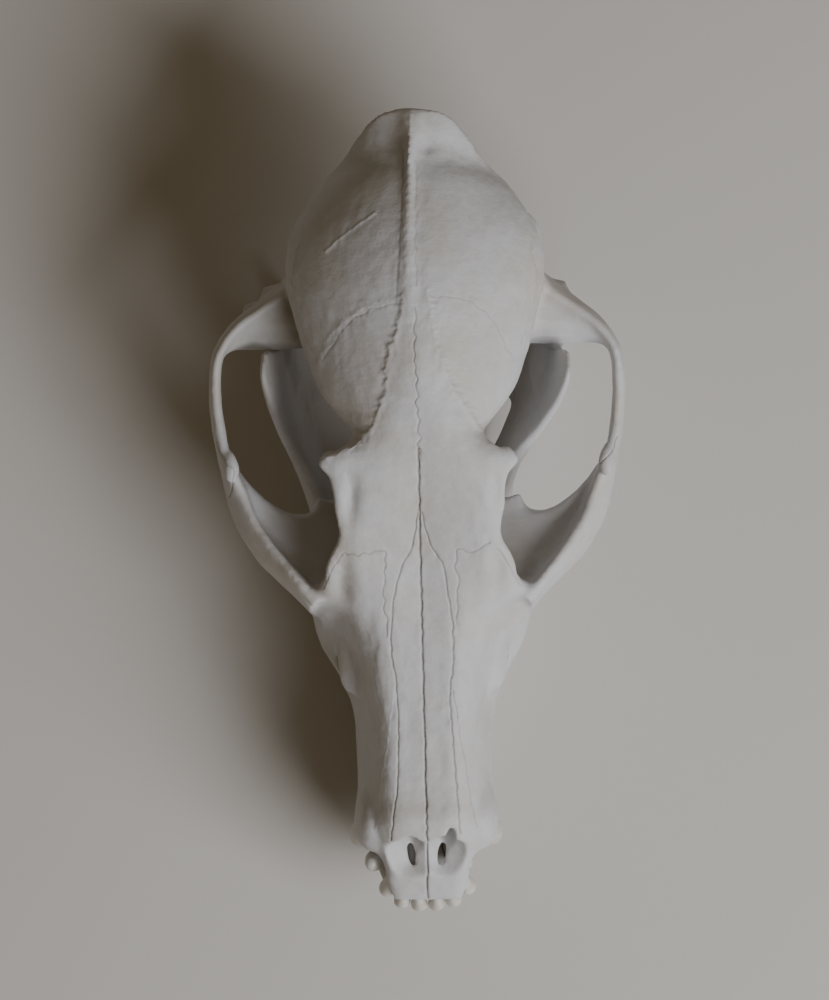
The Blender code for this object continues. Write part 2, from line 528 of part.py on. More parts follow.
def strip_cap(piece, sides):
    """The piece with its last cap split across, so that the crown's edge keeps its points."""
    points, faces = piece
    start = len(points) - sides
    middle = sides // 2
    strips = [(j, j + 1, sides - j - 1, sides - j) for j in range(1, middle - 1)]
    cap = [(0, 1, sides - 1), *strips, (middle - 1, middle, middle + 1)]
    return points, [*faces[:-1], *[tuple(start + j for j in face) for face in cap]]


def peg(path):
    return tube(path, rings=TOOTH_RINGS, sides=TOOTH_SIDES)


def cheek_tooth(tooth, sign):
    return strip_cap(skin(cheek_rings(tooth, sign, TOOTH_SIDES)), TOOTH_SIDES)


def cheek_socket(tooth, sign):
    """The room for a cheek tooth's root, carried on past the rim over the crown's full outline."""
    rings = cheek_rings(tooth, sign, TOOTH_SIDES, grow=GAP)[:3]
    rings[2] = rings[2] * (1, 1, 0) + (0, 0, sign * -0.1)
    return skin([*rings, rings[2] + (0, 0, sign * (6 + 0.03 * tooth[0]))])


def peg_socket(path):
    """The room for a single root: the tooth's own shape, wider and deeper by the gap."""
    path = np.array(path, float)
    path[:, 3:] += GAP
    points, faces = tube(path, rings=TOOTH_RINGS, sides=TOOTH_SIDES)
    deeper = path[0, :3] - path[1, :3]
    points[:TOOTH_SIDES] += deeper * GAP / np.linalg.norm(deeper)
    return points, faces


def placed(piece, base):
    """The piece in the model's axes, in metres, from (s, x, z) in millimetres above the base height."""
    points, faces = piece
    s, x, z = np.asarray(points, float).T
    return np.column_stack([x, s - MIDDLE, z + base]) * MM, faces


def mesh_of(name, pieces):
    """One mesh from closed pieces, each wound outwards."""
    bm = bmesh.new()
    for points, faces in pieces:
        verts = [bm.verts.new(p) for p in points]
        made = [bm.faces.new([verts[i] for i in face]) for face in faces]
        bmesh.ops.recalc_face_normals(bm, faces=made)
    mesh = bpy.data.meshes.new(name)
    bm.to_mesh(mesh)
    bm.free()
    return mesh


def node(name, pieces, material):
    mesh = mesh_of(name, pieces)
    mesh.materials.append(material)
    made = bpy.data.objects.new(name, mesh)
    bpy.context.collection.objects.link(made)
    return made


def cutter(name, pieces, voxel=None):
    made = bpy.data.objects.new(name, mesh_of(name, pieces))
    bpy.context.collection.objects.link(made)
    made.hide_render = True
    made.display_type = "WIRE"
    if voxel:
        blend = made.modifiers.new("Blend", "REMESH")
        blend.mode = "VOXEL"
        blend.voxel_size = voxel * MM
    return made


def carve(bone, tool, name):
    cut = bone.modifiers.new(name, "BOOLEAN")
    cut.operation = "DIFFERENCE"
    cut.solver = "EXACT"
    cut.object = tool
    return cut


def grow_bone(bone, hollows, sockets, share):
    """Blend a bone's pieces into one body, hollow it, thin its mesh out and sink the tooth sockets."""
    blend = bone.modifiers.new("Blend", "REMESH")
    blend.mode = "VOXEL"
    blend.voxel_size = BONE_VOXEL * MM
    carve(bone, hollows, "Hollows")
    heal = bone.modifiers.new("Close thin walls", "REMESH")
    heal.mode = "VOXEL"
    heal.voxel_size = BONE_VOXEL * MM
    soften = bone.modifiers.new("Soften", "SMOOTH")
    soften.factor = 0.5
    soften.iterations = 3
    thin = bone.modifiers.new("Thin out", "DECIMATE")
    thin.ratio = share
    carve(bone, sockets, "Sockets").use_self = True


def material(name, colour, roughness):
    made = bpy.data.materials.new(name)
    made.use_nodes = True
    shader = made.node_tree.nodes["Principled BSDF"]
    shader.inputs["Base Color"].default_value = (*colour, 1)
    shader.inputs["Roughness"].default_value = roughness
    return made


def swung(piece):
    """A jaw piece turned about the upright line midway between the joints."""
    points, faces = piece
    s, x, z = np.asarray(points, float).T
    s, x = turned(s - JOINT_LINE, x, -JAW_SWING)
    return np.column_stack([JOINT_LINE + s, x, z]), faces


def leaning(piece):
    """A piece of the jaw's left half, which bows in towards the middle under the cheek."""
    points, faces = piece
    s, x, z = np.asarray(points, float).T
    return np.column_stack([s, x - LEAN * np.exp(-(((s - LEAN_AT) / LEAN_LENGTH) ** 2)), z]), faces


def block(low, high):
    """A box between two corners."""
    (s, x, z), (t, y, w) = low, high
    return skin([[(e, x, z), (e, y, z), (e, y, w), (e, x, w)] for e in (s, t)])


def tooth_set(pegs, cheeks, sign):
    """Each tooth's name with its solid and its socket, on the side where x is positive."""
    singles = {name: (peg(path), peg_socket(path)) for name, path in pegs.items()}
    doubles = {name: (cheek_tooth(row, sign), cheek_socket(row, sign)) for name, row in cheeks.items()}
    return {**singles, **doubles}


def build_cranium(bone, enamel):
    teeth = tooth_set(UPPER_PEGS, UPPER_CHEEK, -1)
    base = UPPER_RIM
    skull = node("cranium", [placed(piece, base) for piece in cranium_bone()], bone)
    hollows = cutter("cranium_hollows", [placed(piece, base) for piece in cranium_hollows()], CUT_VOXEL)
    rooms = both(*[room for _, room in teeth.values()])
    sockets = cutter("upper_sockets", [placed(piece, base) for piece in rooms])
    grow_bone(skull, hollows, sockets, CRANIUM_SHARE)
    for name, (solid, _) in teeth.items():
        node(f"upper_left_{name}", [placed(solid, base)], enamel)
        node(f"upper_right_{name}", [placed(mirrored(solid), base)], enamel)


def build_jaw(side, shaped, bone, enamel):
    """One half of the lower jaw with its teeth, swung with the other a little to the animal's right."""

    def fit(piece, base=0.0):
        return placed(swung(shaped(piece)), base)

    teeth = tooth_set(LOWER_PEGS, LOWER_CHEEK, 1)
    half = node(f"lower_jaw_{side}", [fit(piece) for piece in jaw_bone()], bone)
    hollows = cutter(f"jaw_hollows_{side}", [fit(piece) for piece in jaw_hollows()], CUT_VOXEL)
    flats = [fit(block((-4, -9, -4), (36, 0.2, 32))), fit(block((-6, -12, -6), (130, 50, 0)))]
    sockets = cutter(f"lower_sockets_{side}", [*flats, *[fit(s, LOWER_RIM) for _, s in teeth.values()]])
    grow_bone(half, hollows, sockets, JAW_SHARE)
    for name, (solid, _) in teeth.items():
        node(f"lower_{side}_{name}", [fit(solid, LOWER_RIM)], enamel)


def main():
    for thing in list(bpy.data.objects):
        bpy.data.objects.remove(thing, do_unlink=True)
    bone, enamel = material(*BONE), material(*ENAMEL)
    build_cranium(bone, enamel)
    build_jaw("left", leaning, bone, enamel)
    build_jaw("right", mirrored, bone, enamel)


main()
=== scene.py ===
"""A bleached red fox's skull, seen from above: its bones and teeth in full detail, in place of plain solids.

Shapes are written in millimetres as (s, x, z): s runs back from the front of the upper incisors, x out from
the midline, and z up, for the cranium from the rim of the upper tooth sockets and for the jaw from the
surface. Each bone is a field of distances on a grid: its pieces are blended into one another, its hollows are
cut out, and the surface is then meshed and carved with its sutures, crests and pits.
"""

import math

import bmesh
import bpy
import numpy as np
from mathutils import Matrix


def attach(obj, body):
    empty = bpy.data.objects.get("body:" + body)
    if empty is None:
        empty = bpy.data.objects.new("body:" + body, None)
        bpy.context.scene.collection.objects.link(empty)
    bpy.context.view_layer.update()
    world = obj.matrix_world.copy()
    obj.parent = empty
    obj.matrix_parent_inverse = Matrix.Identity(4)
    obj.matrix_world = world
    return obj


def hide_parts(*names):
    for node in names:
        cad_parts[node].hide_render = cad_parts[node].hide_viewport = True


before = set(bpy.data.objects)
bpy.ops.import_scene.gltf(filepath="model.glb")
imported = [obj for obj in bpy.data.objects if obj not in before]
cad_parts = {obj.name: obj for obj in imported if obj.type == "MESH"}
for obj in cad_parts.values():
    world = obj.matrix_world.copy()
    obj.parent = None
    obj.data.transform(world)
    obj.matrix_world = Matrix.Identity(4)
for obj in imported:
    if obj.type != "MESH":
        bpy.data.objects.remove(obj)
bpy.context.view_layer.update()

import openvdb as vdb
from mathutils import Euler, Vector, kdtree, noise

MM = 0.001
MIDDLE = 73.88  # how far back the middle of the skull's length is
UPPER_RIM = 24.5  # height of the upper tooth sockets' rim above the surface
LOWER_RIM = 15.6  # height of the lower tooth sockets' rim
JOINT_LINE = 111.0  # how far back the jaw joints are
JAW_SWING = -0.85  # degrees, the lower jaw's turn about the joints' middle
LEAN = 3.6  # how far the left half of the jaw bows in
LEAN_AT = 82.0  # how far back the bow's middle is
LEAN_LENGTH = 10.0  # the bow's half-length
CELL = 0.5  # spacing of the bones' grids
REACH = 4.5  # how far from a piece its distances are worked out
ROOT_LEAN = 0.2  # how far a cheek tooth's root leans in for each millimetre of its depth
COLLAR = 1.6  # how deep the gap round a tooth's neck goes
COLLAR_REACH = 2.0  # how far from a tooth's neck its distances are worked out
SLACK = 0.10  # width of that gap
SOCKET_ROUND = 0.25  # rounding of the sockets' edges
NECK_TINT = 0.18  # share of brown at a tooth's neck
NECK_FADE = 1.1  # how far from the rim it fades
HOLLOW_SHADE_CELLS = 5  # half the width, in cells, over which a hollow is felt for its painted shade
CRANIUM_TRIANGLES = 85_000  # before the refinement, which more than doubles it
JAW_TRIANGLES = 40_000
CAMERA_HEIGHT = 4.0  # above the skull's middle height
FRAME_HEIGHT = 0.185  # what the picture's height covers there
CAMERA_OVER = (-0.0009, 0.0026)  # the point the camera looks down on
CAMERA_ROLL = -1.2  # degrees

# Half-sections of the skull's main body, keyed by s. Each runs from the top of the midline over the edge of
# the roof, down the wall and round the tooth rim to the bottom of the midline, as (x, z).
BODY = {
    2.2: [
        (0, 2.4), (2.5, 2.4), (4.2, 2.3), (5.3, 2.0), (5.9, 1.6),
        (6.1, 1.2), (6.0, 0.7), (5.5, 0.3), (4.4, 0), (0, 0.3),
    ],
    5.0: [
        (0, 4.8), (3.0, 4.8), (5.2, 4.6), (6.5, 4.0), (7.1, 3.2),
        (7.3, 2.4), (7.3, 1.6), (7.1, 0.8), (6.2, 0), (0, 1.0),
    ],
    8.0: [
        (0, 7.8), (3.0, 7.8), (5.4, 7.4), (6.9, 6.4), (7.6, 5.2),
        (8.0, 4.0), (8.1, 2.8), (8.0, 1.5), (7.0, 0.4), (0, 1.6),
    ],
    11.0: [
        (0, 11.4), (3.0, 11.4), (5.4, 10.9), (7.0, 9.6), (8.1, 7.8),
        (8.9, 6.0), (9.5, 4.1), (9.7, 2.2), (8.4, 0.6), (0, 2.0),
    ],
    13.5: [
        (0, 14.6), (3.0, 14.6), (5.6, 14.0), (7.6, 12.2), (9.2, 9.6),
        (10.6, 7.0), (11.7, 4.4), (12.2, 2.0), (10.8, 0.2), (0, 2.2),
    ],
    16.0: [
        (0, 16.6), (3.4, 16.7), (6.2, 15.9), (8.3, 13.7), (10.0, 10.6),
        (11.4, 7.4), (12.4, 4.2), (12.8, 1.8), (11.4, 0), (0, 2.4),
    ],
    21.0: [
        (0, 17.2), (3.7, 17.3), (6.5, 16.4), (8.5, 14.0), (10.1, 10.8),
        (11.4, 7.4), (12.2, 4.0), (12.5, 1.6), (11.0, 0), (0, 2.4),
    ],
    30.0: [
        (0, 18.5), (3.9, 18.6), (6.7, 17.7), (8.6, 15.2), (9.9, 11.8),
        (11.1, 8.0), (12.1, 4.2), (12.6, 1.4), (11.0, 0), (0, 2.4),
    ],
    38.0: [
        (0, 19.9), (4.1, 20.0), (7.1, 19.1), (9.0, 16.5), (10.3, 12.8),
        (11.5, 9.0), (12.6, 4.6), (13.1, 1.4), (11.8, 0), (0, 2.4),
    ],
    44.0: [
        (0, 21.2), (4.5, 21.3), (7.8, 20.4), (9.9, 17.8), (11.2, 14.0),
        (12.5, 10.0), (14.3, 5.0), (15.5, 1.4), (14.0, 0), (0, 2.4),
    ],
    50.0: [
        (0, 22.7), (5.0, 22.9), (8.7, 22.0), (11.0, 19.4), (12.4, 15.8),
        (14.0, 11.6), (16.8, 6.0), (18.9, 1.6), (17.2, 0), (0, 2.4),
    ],
    55.0: [
        (0, 24.2), (5.6, 24.5), (10.0, 23.8), (12.7, 21.4), (14.2, 17.8),
        (15.9, 13.4), (18.7, 7.0), (20.2, 1.8), (18.6, 0), (0, 2.5),
    ],
    60.0: [
        (0, 26.1), (6.2, 26.5), (11.6, 26.2), (16.4, 24.4), (19.2, 20.6),
        (19.8, 15.0), (20.5, 8.0), (20.8, 2.2), (19.4, 0), (0, 2.6),
    ],
    64.0: [
        (0, 28.0), (6.7, 28.5), (12.8, 28.6), (17.4, 26.6), (16.4, 22.0),
        (13.8, 16.4), (15.4, 10.0), (20.2, 5.0), (19.2, 0), (0, 2.6),
    ],
    70.0: [
        (0, 31.0), (7.0, 31.6), (12.2, 31.7), (15.0, 30.4), (12.4, 25.2),
        (9.8, 18.4), (11.2, 10.8), (19.0, 4.6), (17.8, 0.2), (0, 2.8),
    ],
    75.0: [
        (0, 33.6), (7.4, 34.1), (12.8, 34.1), (15.6, 32.8), (12.6, 27.4),
        (9.0, 20.2), (9.2, 11.8), (16.2, 5.4), (15.2, 0.8), (0, 3.0),
    ],
    81.0: [
        (0, 36.6), (8.1, 36.8), (14.0, 36.3), (16.6, 34.9), (13.4, 30.6),
        (9.4, 23.0), (7.6, 17.0), (6.8, 13.5), (5.2, 10.2), (0, 9.2),
    ],
    84.0: [
        (0, 37.9), (8.6, 37.8), (15.2, 37.0), (18.4, 35.4), (14.0, 32.2),
        (10.0, 26.0), (8.0, 19.0), (7.0, 14.2), (5.2, 10.6), (0, 9.6),
    ],
    86.0: [
        (0, 38.6), (8.0, 38.4), (12.4, 37.6), (14.9, 36.2), (12.6, 32.8),
        (10.4, 26.8), (8.4, 19.6), (7.2, 14.6), (5.2, 10.8), (0, 9.8),
    ],
    88.5: [
        (0, 39.4), (6.5, 39.0), (10.2, 37.6), (12.0, 35.2), (12.0, 31.4),
        (11.2, 26.0), (9.4, 20.0), (7.6, 15.0), (5.4, 11.0), (0, 10.0),
    ],
    92.0: [
        (0, 40.5), (5.0, 40.1), (8.8, 38.4), (11.9, 35.6), (14.0, 31.4),
        (14.2, 26.0), (12.0, 20.0), (8.6, 15.2), (5.6, 11.2), (0, 10.2),
    ],
    96.0: [
        (0, 41.6), (3.8, 41.1), (8.6, 39.1), (13.0, 35.8), (16.6, 31.0),
        (17.4, 25.4), (15.0, 19.4), (10.5, 14.6), (6.0, 11.4), (0, 10.4),
    ],
    102.0: [
        (0, 42.8), (3.4, 42.3), (9.4, 39.8), (14.8, 35.8), (19.0, 30.0),
        (20.0, 24.0), (18.0, 17.6), (12.5, 13.0), (6.5, 11.0), (0, 10.6),
    ],
    110.0: [
        (0, 43.4), (3.4, 43.0), (10.2, 40.4), (16.6, 36.0), (21.2, 29.8),
        (22.3, 23.2), (20.0, 16.6), (14.0, 12.2), (7.0, 10.6), (0, 10.4),
    ],
    118.0: [
        (0, 43.2), (3.6, 42.8), (10.8, 40.2), (17.6, 35.8), (22.6, 29.6),
        (23.9, 22.8), (21.4, 16.2), (15.0, 11.6), (7.0, 10.0), (0, 10.0),
    ],
    125.0: [
        (0, 42.0), (3.6, 41.6), (10.6, 39.0), (17.2, 34.8), (21.8, 28.8),
        (23.0, 22.4), (20.6, 15.8), (15.0, 11.0), (7.0, 9.6), (0, 9.6),
    ],
    131.0: [
        (0, 40.2), (3.2, 39.8), (9.4, 37.4), (15.0, 33.2), (19.0, 27.8),
        (20.0, 21.6), (18.0, 15.4), (13.0, 11.0), (6.5, 9.2), (0, 9.2),
    ],
    136.0: [
        (0, 38.2), (2.8, 37.8), (8.0, 35.6), (12.2, 31.6), (15.0, 26.6),
        (15.8, 21.0), (14.4, 15.2), (11.0, 11.0), (6.0, 8.8), (0, 8.8),
    ],
    140.0: [
        (0, 36.0), (2.4, 35.4), (5.8, 33.0), (8.4, 29.2), (9.8, 25.0),
        (10.2, 20.4), (9.8, 15.6), (8.0, 11.6), (5.0, 9.4), (0, 9.2),
    ],
}


# The zygomatic arch: rows of its lower edge, its upper edge, and the thickness at each.
ARCH = [
    [(57, 19.0, 3.5), (58.0, 19.4, 21.0), (4.0, 3.6)],
    [(62, 24.3, 5.2), (62, 22.8, 20.4), (4.2, 3.0)],
    [(67, 29.7, 7.0), (67, 26.6, 18.0), (4.2, 2.6)],
    [(73, 33.4, 8.2), (73, 30.4, 15.8), (3.8, 2.4)],
    [(79, 35.2, 9.4), (78.5, 32.6, 15.2), (3.2, 2.4)],
    [(85, 36.2, 10.6), (84.6, 35.4, 17.6), (2.9, 2.6)],
    [(91, 37.2, 12.0), (91, 36.8, 17.6), (2.6, 2.2)],
    [(98, 37.5, 13.2), (98, 37.3, 19.0), (2.5, 2.1)],
    [(104, 36.7, 12.0), (104, 36.6, 20.2), (2.6, 2.1)],
    [(108.5, 33.5, 10.4), (108.5, 33.5, 20.4), (3.2, 2.4)],
    [(112, 28.6, 9.8), (112, 28.8, 20.2), (4.0, 2.6)],
    [(116, 23.0, 10.4), (116, 23.2, 20.4), (4.4, 3.0)],
    [(120, 19.4, 12.0), (120, 19.4, 20.4), (4.4, 3.4)],
]
# The floor of the orbit, from the cheek's wall out to the arch.
ORBIT_FLOOR = [
    [(56, 12, 10.0), (56, 17.6, 11.5), (12.0, 12.0)],
    [(61, 11, 8.4), (61, 22.0, 10.6), (10.0, 11.0)],
    [(66, 11, 7.4), (66, 27.0, 9.8), (8.0, 7.0)],
    [(70, 11, 6.6), (71, 30.4, 9.8), (6.0, 4.6)],
    [(73.0, 13, 6.2), (76.4, 32.4, 10.8), (4.0, 3.0)],
    [(76.0, 15, 6.6), (83.0, 34.2, 12.2), (3.2, 2.6)],
]
# The shelf that carries the jaw joint's socket, from the braincase out to the arch.
JOINT_SHELF = [
    [(105.6, 18, 14.6), (105.6, 34.0, 15.4), (3.4, 4.4)],
    [(108, 17, 13.8), (108, 32.6, 14.2), (8.0, 8.4)],
    [(112, 16, 13.4), (112, 28.8, 13.8), (8.6, 8.8)],
    [(116, 15, 13.4), (116, 24.6, 13.8), (8.6, 8.0)],
    [(119, 14, 14.0), (119, 21.6, 14.4), (6.0, 5.0)],
]
JOINT_STOP = [
    [(115.2, 17.6, 11.5), (115.6, 18.6, 6.2), (3.4, 2.0)],
    [(115.6, 22.6, 11.5), (116.0, 22.6, 4.4), (3.6, 2.0)],
    [(115.2, 28.2, 12.0), (115.6, 27.0, 7.2), (3.0, 1.8)],
]
NUCHAL_CREST = [
    [(137.5, -1.0, 31.4), (147.6, -1.0, 33.8), (7.0, 1.8)],
    [(137.0, 2.5, 31.0), (148.5, 3.0, 33.4), (7.0, 1.8)],
    [(135.5, 6.0, 28.8), (147.3, 6.6, 32.0), (6.6, 1.7)],
    [(133.5, 8.6, 26.2), (143.9, 9.8, 29.0), (6.0, 1.6)],
    [(131.5, 11.0, 23.2), (139.4, 12.8, 25.6), (5.0, 1.6)],
    [(129.5, 13.8, 20.0), (134.8, 15.5, 22.0), (4.0, 1.6)],
    [(126.5, 16.6, 16.8), (131.0, 19.2, 18.2), (4.0, 1.8)],
    [(123.5, 18.6, 14.0), (127.0, 21.8, 14.8), (4.4, 2.4)],
    [(120.0, 19.6, 12.4), (122.4, 22.8, 12.4), (4.4, 3.0)],
]
SAGITTAL_CREST = [
    [(110, -1.0, 39.4), (110, -1.0, 43.2), (3.0, 2.2)],
    [(116, -1.2, 39.8), (116, -1.2, 43.5), (3.2, 1.8)],
    [(122, -1.2, 39.2), (122, -1.2, 43.0), (3.0, 1.6)],
    [(129, -0.9, 37.6), (129, -0.9, 41.5), (2.8, 1.5)],
    [(136, -0.6, 34.4), (136, -0.6, 39.6), (2.8, 1.4)],
    [(142, -0.4, 30.6), (142, -0.4, 37.8), (3.2, 1.6)],
    [(145.4, -0.2, 28.6), (147.8, -0.2, 34.2), (3.6, 2.0)],
]
PTERYGOID = [
    [(74.5, 8.0, 9.0), (74.5, 8.0, 3.4), (2.4, 2.2)],
    [(80.0, 6.6, 12.0), (79.0, 7.0, 3.8), (2.2, 1.6)],
    [(87.0, 6.0, 12.0), (86.0, 6.4, 4.4), (2.0, 1.4)],
    [(94.0, 5.8, 12.0), (94.0, 6.2, 3.4), (2.0, 1.4)],
    [(99.0, 5.6, 12.0), (101.0, 6.0, 2.2), (2.0, 1.4)],
    [(101.0, 5.6, 12.0), (103.0, 6.0, 3.0), (1.8, 1.2)],
]
# Half of the lower jaw: rows of its lower edge, its upper edge, and the thickness at each.
JAW = [
    [(5.4, 2.6, 11.2), (4.2, 3.4, 15.6), (4.2, 6.6)],
    [(9.0, 3.0, 8.4), (8.6, 4.6, 15.6), (5.2, 8.4)],
    [(14, 3.2, 5.8), (14, 5.0, 15.6), (5.4, 8.0)],
    [(20, 3.6, 4.0), (20, 5.6, 15.2), (5.4, 5.6)],
    [(27, 4.8, 2.6), (27, 6.8, 15.0), (5.4, 5.2)],
    [(36, 7.0, 1.4), (36, 8.2, 15.0), (5.6, 5.2)],
    [(46, 9.8, 0.4), (46, 10.3, 15.2), (6.0, 5.4)],
    [(56, 12.8, -0.3), (56, 12.7, 15.6), (6.4, 6.0)],
    [(66, 15.4, -0.1), (66, 14.6, 15.8), (6.4, 6.0)],
    [(74, 17.0, 1.2), (74, 16.6, 16.6), (5.8, 6.0)],
    [(80, 18.0, 2.8), (79, 19.0, 20.0), (5.0, 5.6)],
    [(87, 18.8, 4.4), (84.5, 22.2, 28.0), (4.2, 4.8)],
    [(94, 19.4, 4.6), (89.5, 25.0, 36.5), (3.6, 4.2)],
    [(100, 20.2, 4.0), (95.5, 27.4, 43.6), (3.2, 3.6)],
    [(104, 21.0, 4.0), (99.8, 28.4, 46.4), (2.8, 2.8)],
    [(106.4, 21.7, 6.2), (103.8, 28.1, 44.6), (2.4, 2.2)],
]
ANGULAR_PROCESS = [
    (96, 20.0, 6.0, 4.4, 2.0),
    (104, 21.0, 3.6, 4.0, 1.9),
    (110, 21.7, 2.4, 2.8, 1.6),
    (114.5, 22.0, 4.2, 1.5, 1.1),
    (116.5, 22.1, 5.8, 0.7, 0.6),
]
JAW_NECK = [(101, 23.2, 22.0, 5.0, 1.8), (106, 24.6, 26.0, 4.2, 2.4), (110.6, 25.6, 29.4, 2.4, 4.0)]

# Round forms and openings, as rows of (s, x, z, radius, radius).
EAR_RIM = [(119.6, 13.0, 10.4, 4.0, 4.0), (119.8, 20.6, 12.2, 3.8, 3.6)]
EAR_OPENING = [(120.0, 26.0, 13.0, 2.5, 2.3), (119.8, 16.0, 11.4, 2.2, 2.0)]
MASTOID_SPUR = [(128.5, 15.4, 12.5, 3.4, 2.6), (131.2, 15.8, 7.0, 2.8, 2.0), (132.4, 15.8, 2.8, 1.5, 1.2)]
NASAL_CAVITY = [
    (9, 2.9, 10.4, 4.4, 2.2),
    (16, 2.9, 10.2, 4.4, 2.3),
    (30, 3.0, 10.0, 4.2, 2.2),
    (36, 3.0, 9.6, 2.0, 1.0),
]
AIRWAY = [(86, 0, 6.6, 2.7, 4.2), (76, 0, 7.0, 2.7, 4.2), (64, 0, 8.4, 2.8, 4.0), (58, 0, 9.4, 1.6, 2.4)]
NERVE_OPENING = [(43.5, 15.6, 4.2, 1.3, 1.1), (47.5, 14.4, 4.8, 1.3, 1.1), (51.0, 13.8, 5.6, 1.0, 0.8)]
SPINE_OPENING = [
    (148.5, 0, 17.4, 6.2, 6.9),
    (142, 0, 17.6, 6.2, 6.9),
    (133, 0, 18.0, 5.6, 6.0),
    (129, 0, 18.4, 3.0, 3.0),
]


# Single-rooted teeth as (s, x, z, depth, width) rows from the root's tip to the crown's, z from their rim.
UPPER_PEGS = {
    "incisor_1": [
        (6.4, 1.9, 3.0, 0.6, 0.6), (4.4, 1.8, 1.5, 1.3, 1.0), (2.4, 1.65, -0.4, 1.6, 1.15),
        (1.4, 1.6, -2.2, 1.5, 1.56), (1.2, 1.6, -4.4, 0.5, 1.3),
    ],
    "incisor_2": [
        (7.2, 4.0, 3.6, 0.6, 0.6), (5.2, 4.3, 1.7, 1.4, 1.0), (3.3, 4.6, -0.4, 1.7, 1.2),
        (2.1, 4.75, -2.3, 1.6, 1.56), (2.0, 4.8, -4.7, 0.5, 1.2),
    ],
    "incisor_3": [
        (7.4, 5.6, 5.0, 0.6, 0.6), (6.4, 6.3, 2.2, 1.3, 0.9), (5.2, 7.1, -0.4, 1.6, 1.2),
        (4.4, 7.6, -2.8, 1.65, 1.45), (4.7, 7.8, -5.4, 0.5, 0.7),
    ],
    "canine": [
        (24, 6.9, 12.0, 1.0, 0.8), (19.4, 8.9, 7.2, 2.5, 1.6), (15.6, 11.2, 0.4, 3.0, 2.1),
        (14.6, 12.4, -5, 2.5, 1.9), (15.0, 12.4, -10, 1.8, 1.3), (16.8, 12.4, -15.6, 0.4, 0.35),
    ],
}
LOWER_PEGS = {
    "incisor_1": [
        (8.8, 1.4, -6.0, 0.6, 0.5), (7.0, 1.3, -3.0, 1.4, 0.6), (5.4, 1.25, 0.3, 1.4, 0.7),
        (4.6, 1.25, 2.2, 1.1, 0.8), (4.4, 1.25, 4.0, 0.4, 0.75),
    ],
    "incisor_2": [
        (9.2, 2.4, -6.0, 0.6, 0.5), (7.4, 2.7, -3.0, 1.5, 0.6), (5.8, 3.0, 0.3, 1.5, 0.7),
        (5.0, 3.05, 2.2, 1.2, 0.8), (4.8, 3.05, 4.2, 0.4, 0.75),
    ],
    "incisor_3": [
        (9.6, 3.4, -4.6, 0.6, 0.5), (7.9, 4.0, -2.3, 1.3, 0.5), (6.5, 4.6, 0.3, 1.3, 0.7),
        (5.9, 4.85, 2.3, 1.2, 0.8), (5.6, 4.9, 4.2, 0.4, 0.8),
    ],
    "canine": [
        (19.5, 4.2, -9.4, 1.0, 0.8), (15.6, 4.8, -5.2, 2.2, 1.5), (11.8, 6.5, 0.4, 2.6, 1.8),
        (10.1, 7.5, 5.0, 2.1, 1.7), (9.3, 8.5, 8.4, 1.9, 1.6), (9.0, 8.9, 11.0, 0.9, 0.8),
    ],
}
# Cheek teeth as (s, x, yaw outwards in degrees, length, width, crown height, root depth, lean of the edge
# outwards, profile of the edge from the front to the back).
UPPER_CHEEK = {
    "premolar_1": (23.2, 10.7, 4, 4.0, 2.8, 3.8, 2.4, 0.1, [0.5, 1.0, 0.5, 0.35]),
    "premolar_2": (31.0, 10.9, 3, 7.8, 3.0, 5.4, 6.0, 0.1, [0.35, 0.7, 1.0, 0.5, 0.4, 0.3]),
    "premolar_3": (41.6, 12.1, 10, 8.8, 3.3, 6.0, 6.5, 0.1, [0.3, 0.65, 1.0, 0.55, 0.5, 0.35]),
    "premolar_4": (54.4, 16.9, 15, 13.8, 5.2, 7.6, 7.0, 0.5, [0.4, 0.8, 1.0, 0.45, 0.65, 0.6, 0.35]),
    "molar_1": (66.4, 15.0, -16, 8.6, 10.6, 4.6, 4.0, 0.0, [0.8, 1.0, 0.7, 0.95, 0.7]),
    "molar_2": (74.5, 13.2, -18, 5.2, 7.4, 3.2, 3.2, 0.0, [0.8, 1.0, 0.75, 0.9, 0.7]),
}
LOWER_CHEEK = {
    "premolar_1": (19.0, 5.7, 8, 3.4, 2.4, 3.2, 3.0, 0.0, [0.6, 1.0, 0.6, 0.4]),
    "premolar_2": (26.2, 6.8, 8, 7.2, 2.8, 4.8, 6.0, 0.0, [0.4, 0.9, 1.0, 0.5, 0.4]),
    "premolar_3": (35.0, 8.1, 10, 7.9, 2.9, 5.0, 6.5, 0.0, [0.4, 0.85, 1.0, 0.5, 0.35]),
    "premolar_4": (44.3, 9.9, 12, 8.2, 3.2, 5.4, 7.0, 0.0, [0.4, 0.85, 1.0, 0.55, 0.5, 0.35]),
    "molar_1": (56.8, 12.7, 12, 14.6, 4.6, 8.0, 7.5, -0.1, [0.45, 0.7, 0.55, 1.0, 0.6, 0.34, 0.36, 0.3]),
    "molar_2": (68.4, 14.9, 10, 6.8, 4.8, 3.0, 6.0, 0.0, [0.9, 1.0, 0.7, 0.8, 0.6]),
    "molar_3": (73.8, 16.3, 12, 3.0, 2.8, 1.8, 3.4, 0.0, [0.9, 1.0, 0.9]),
}
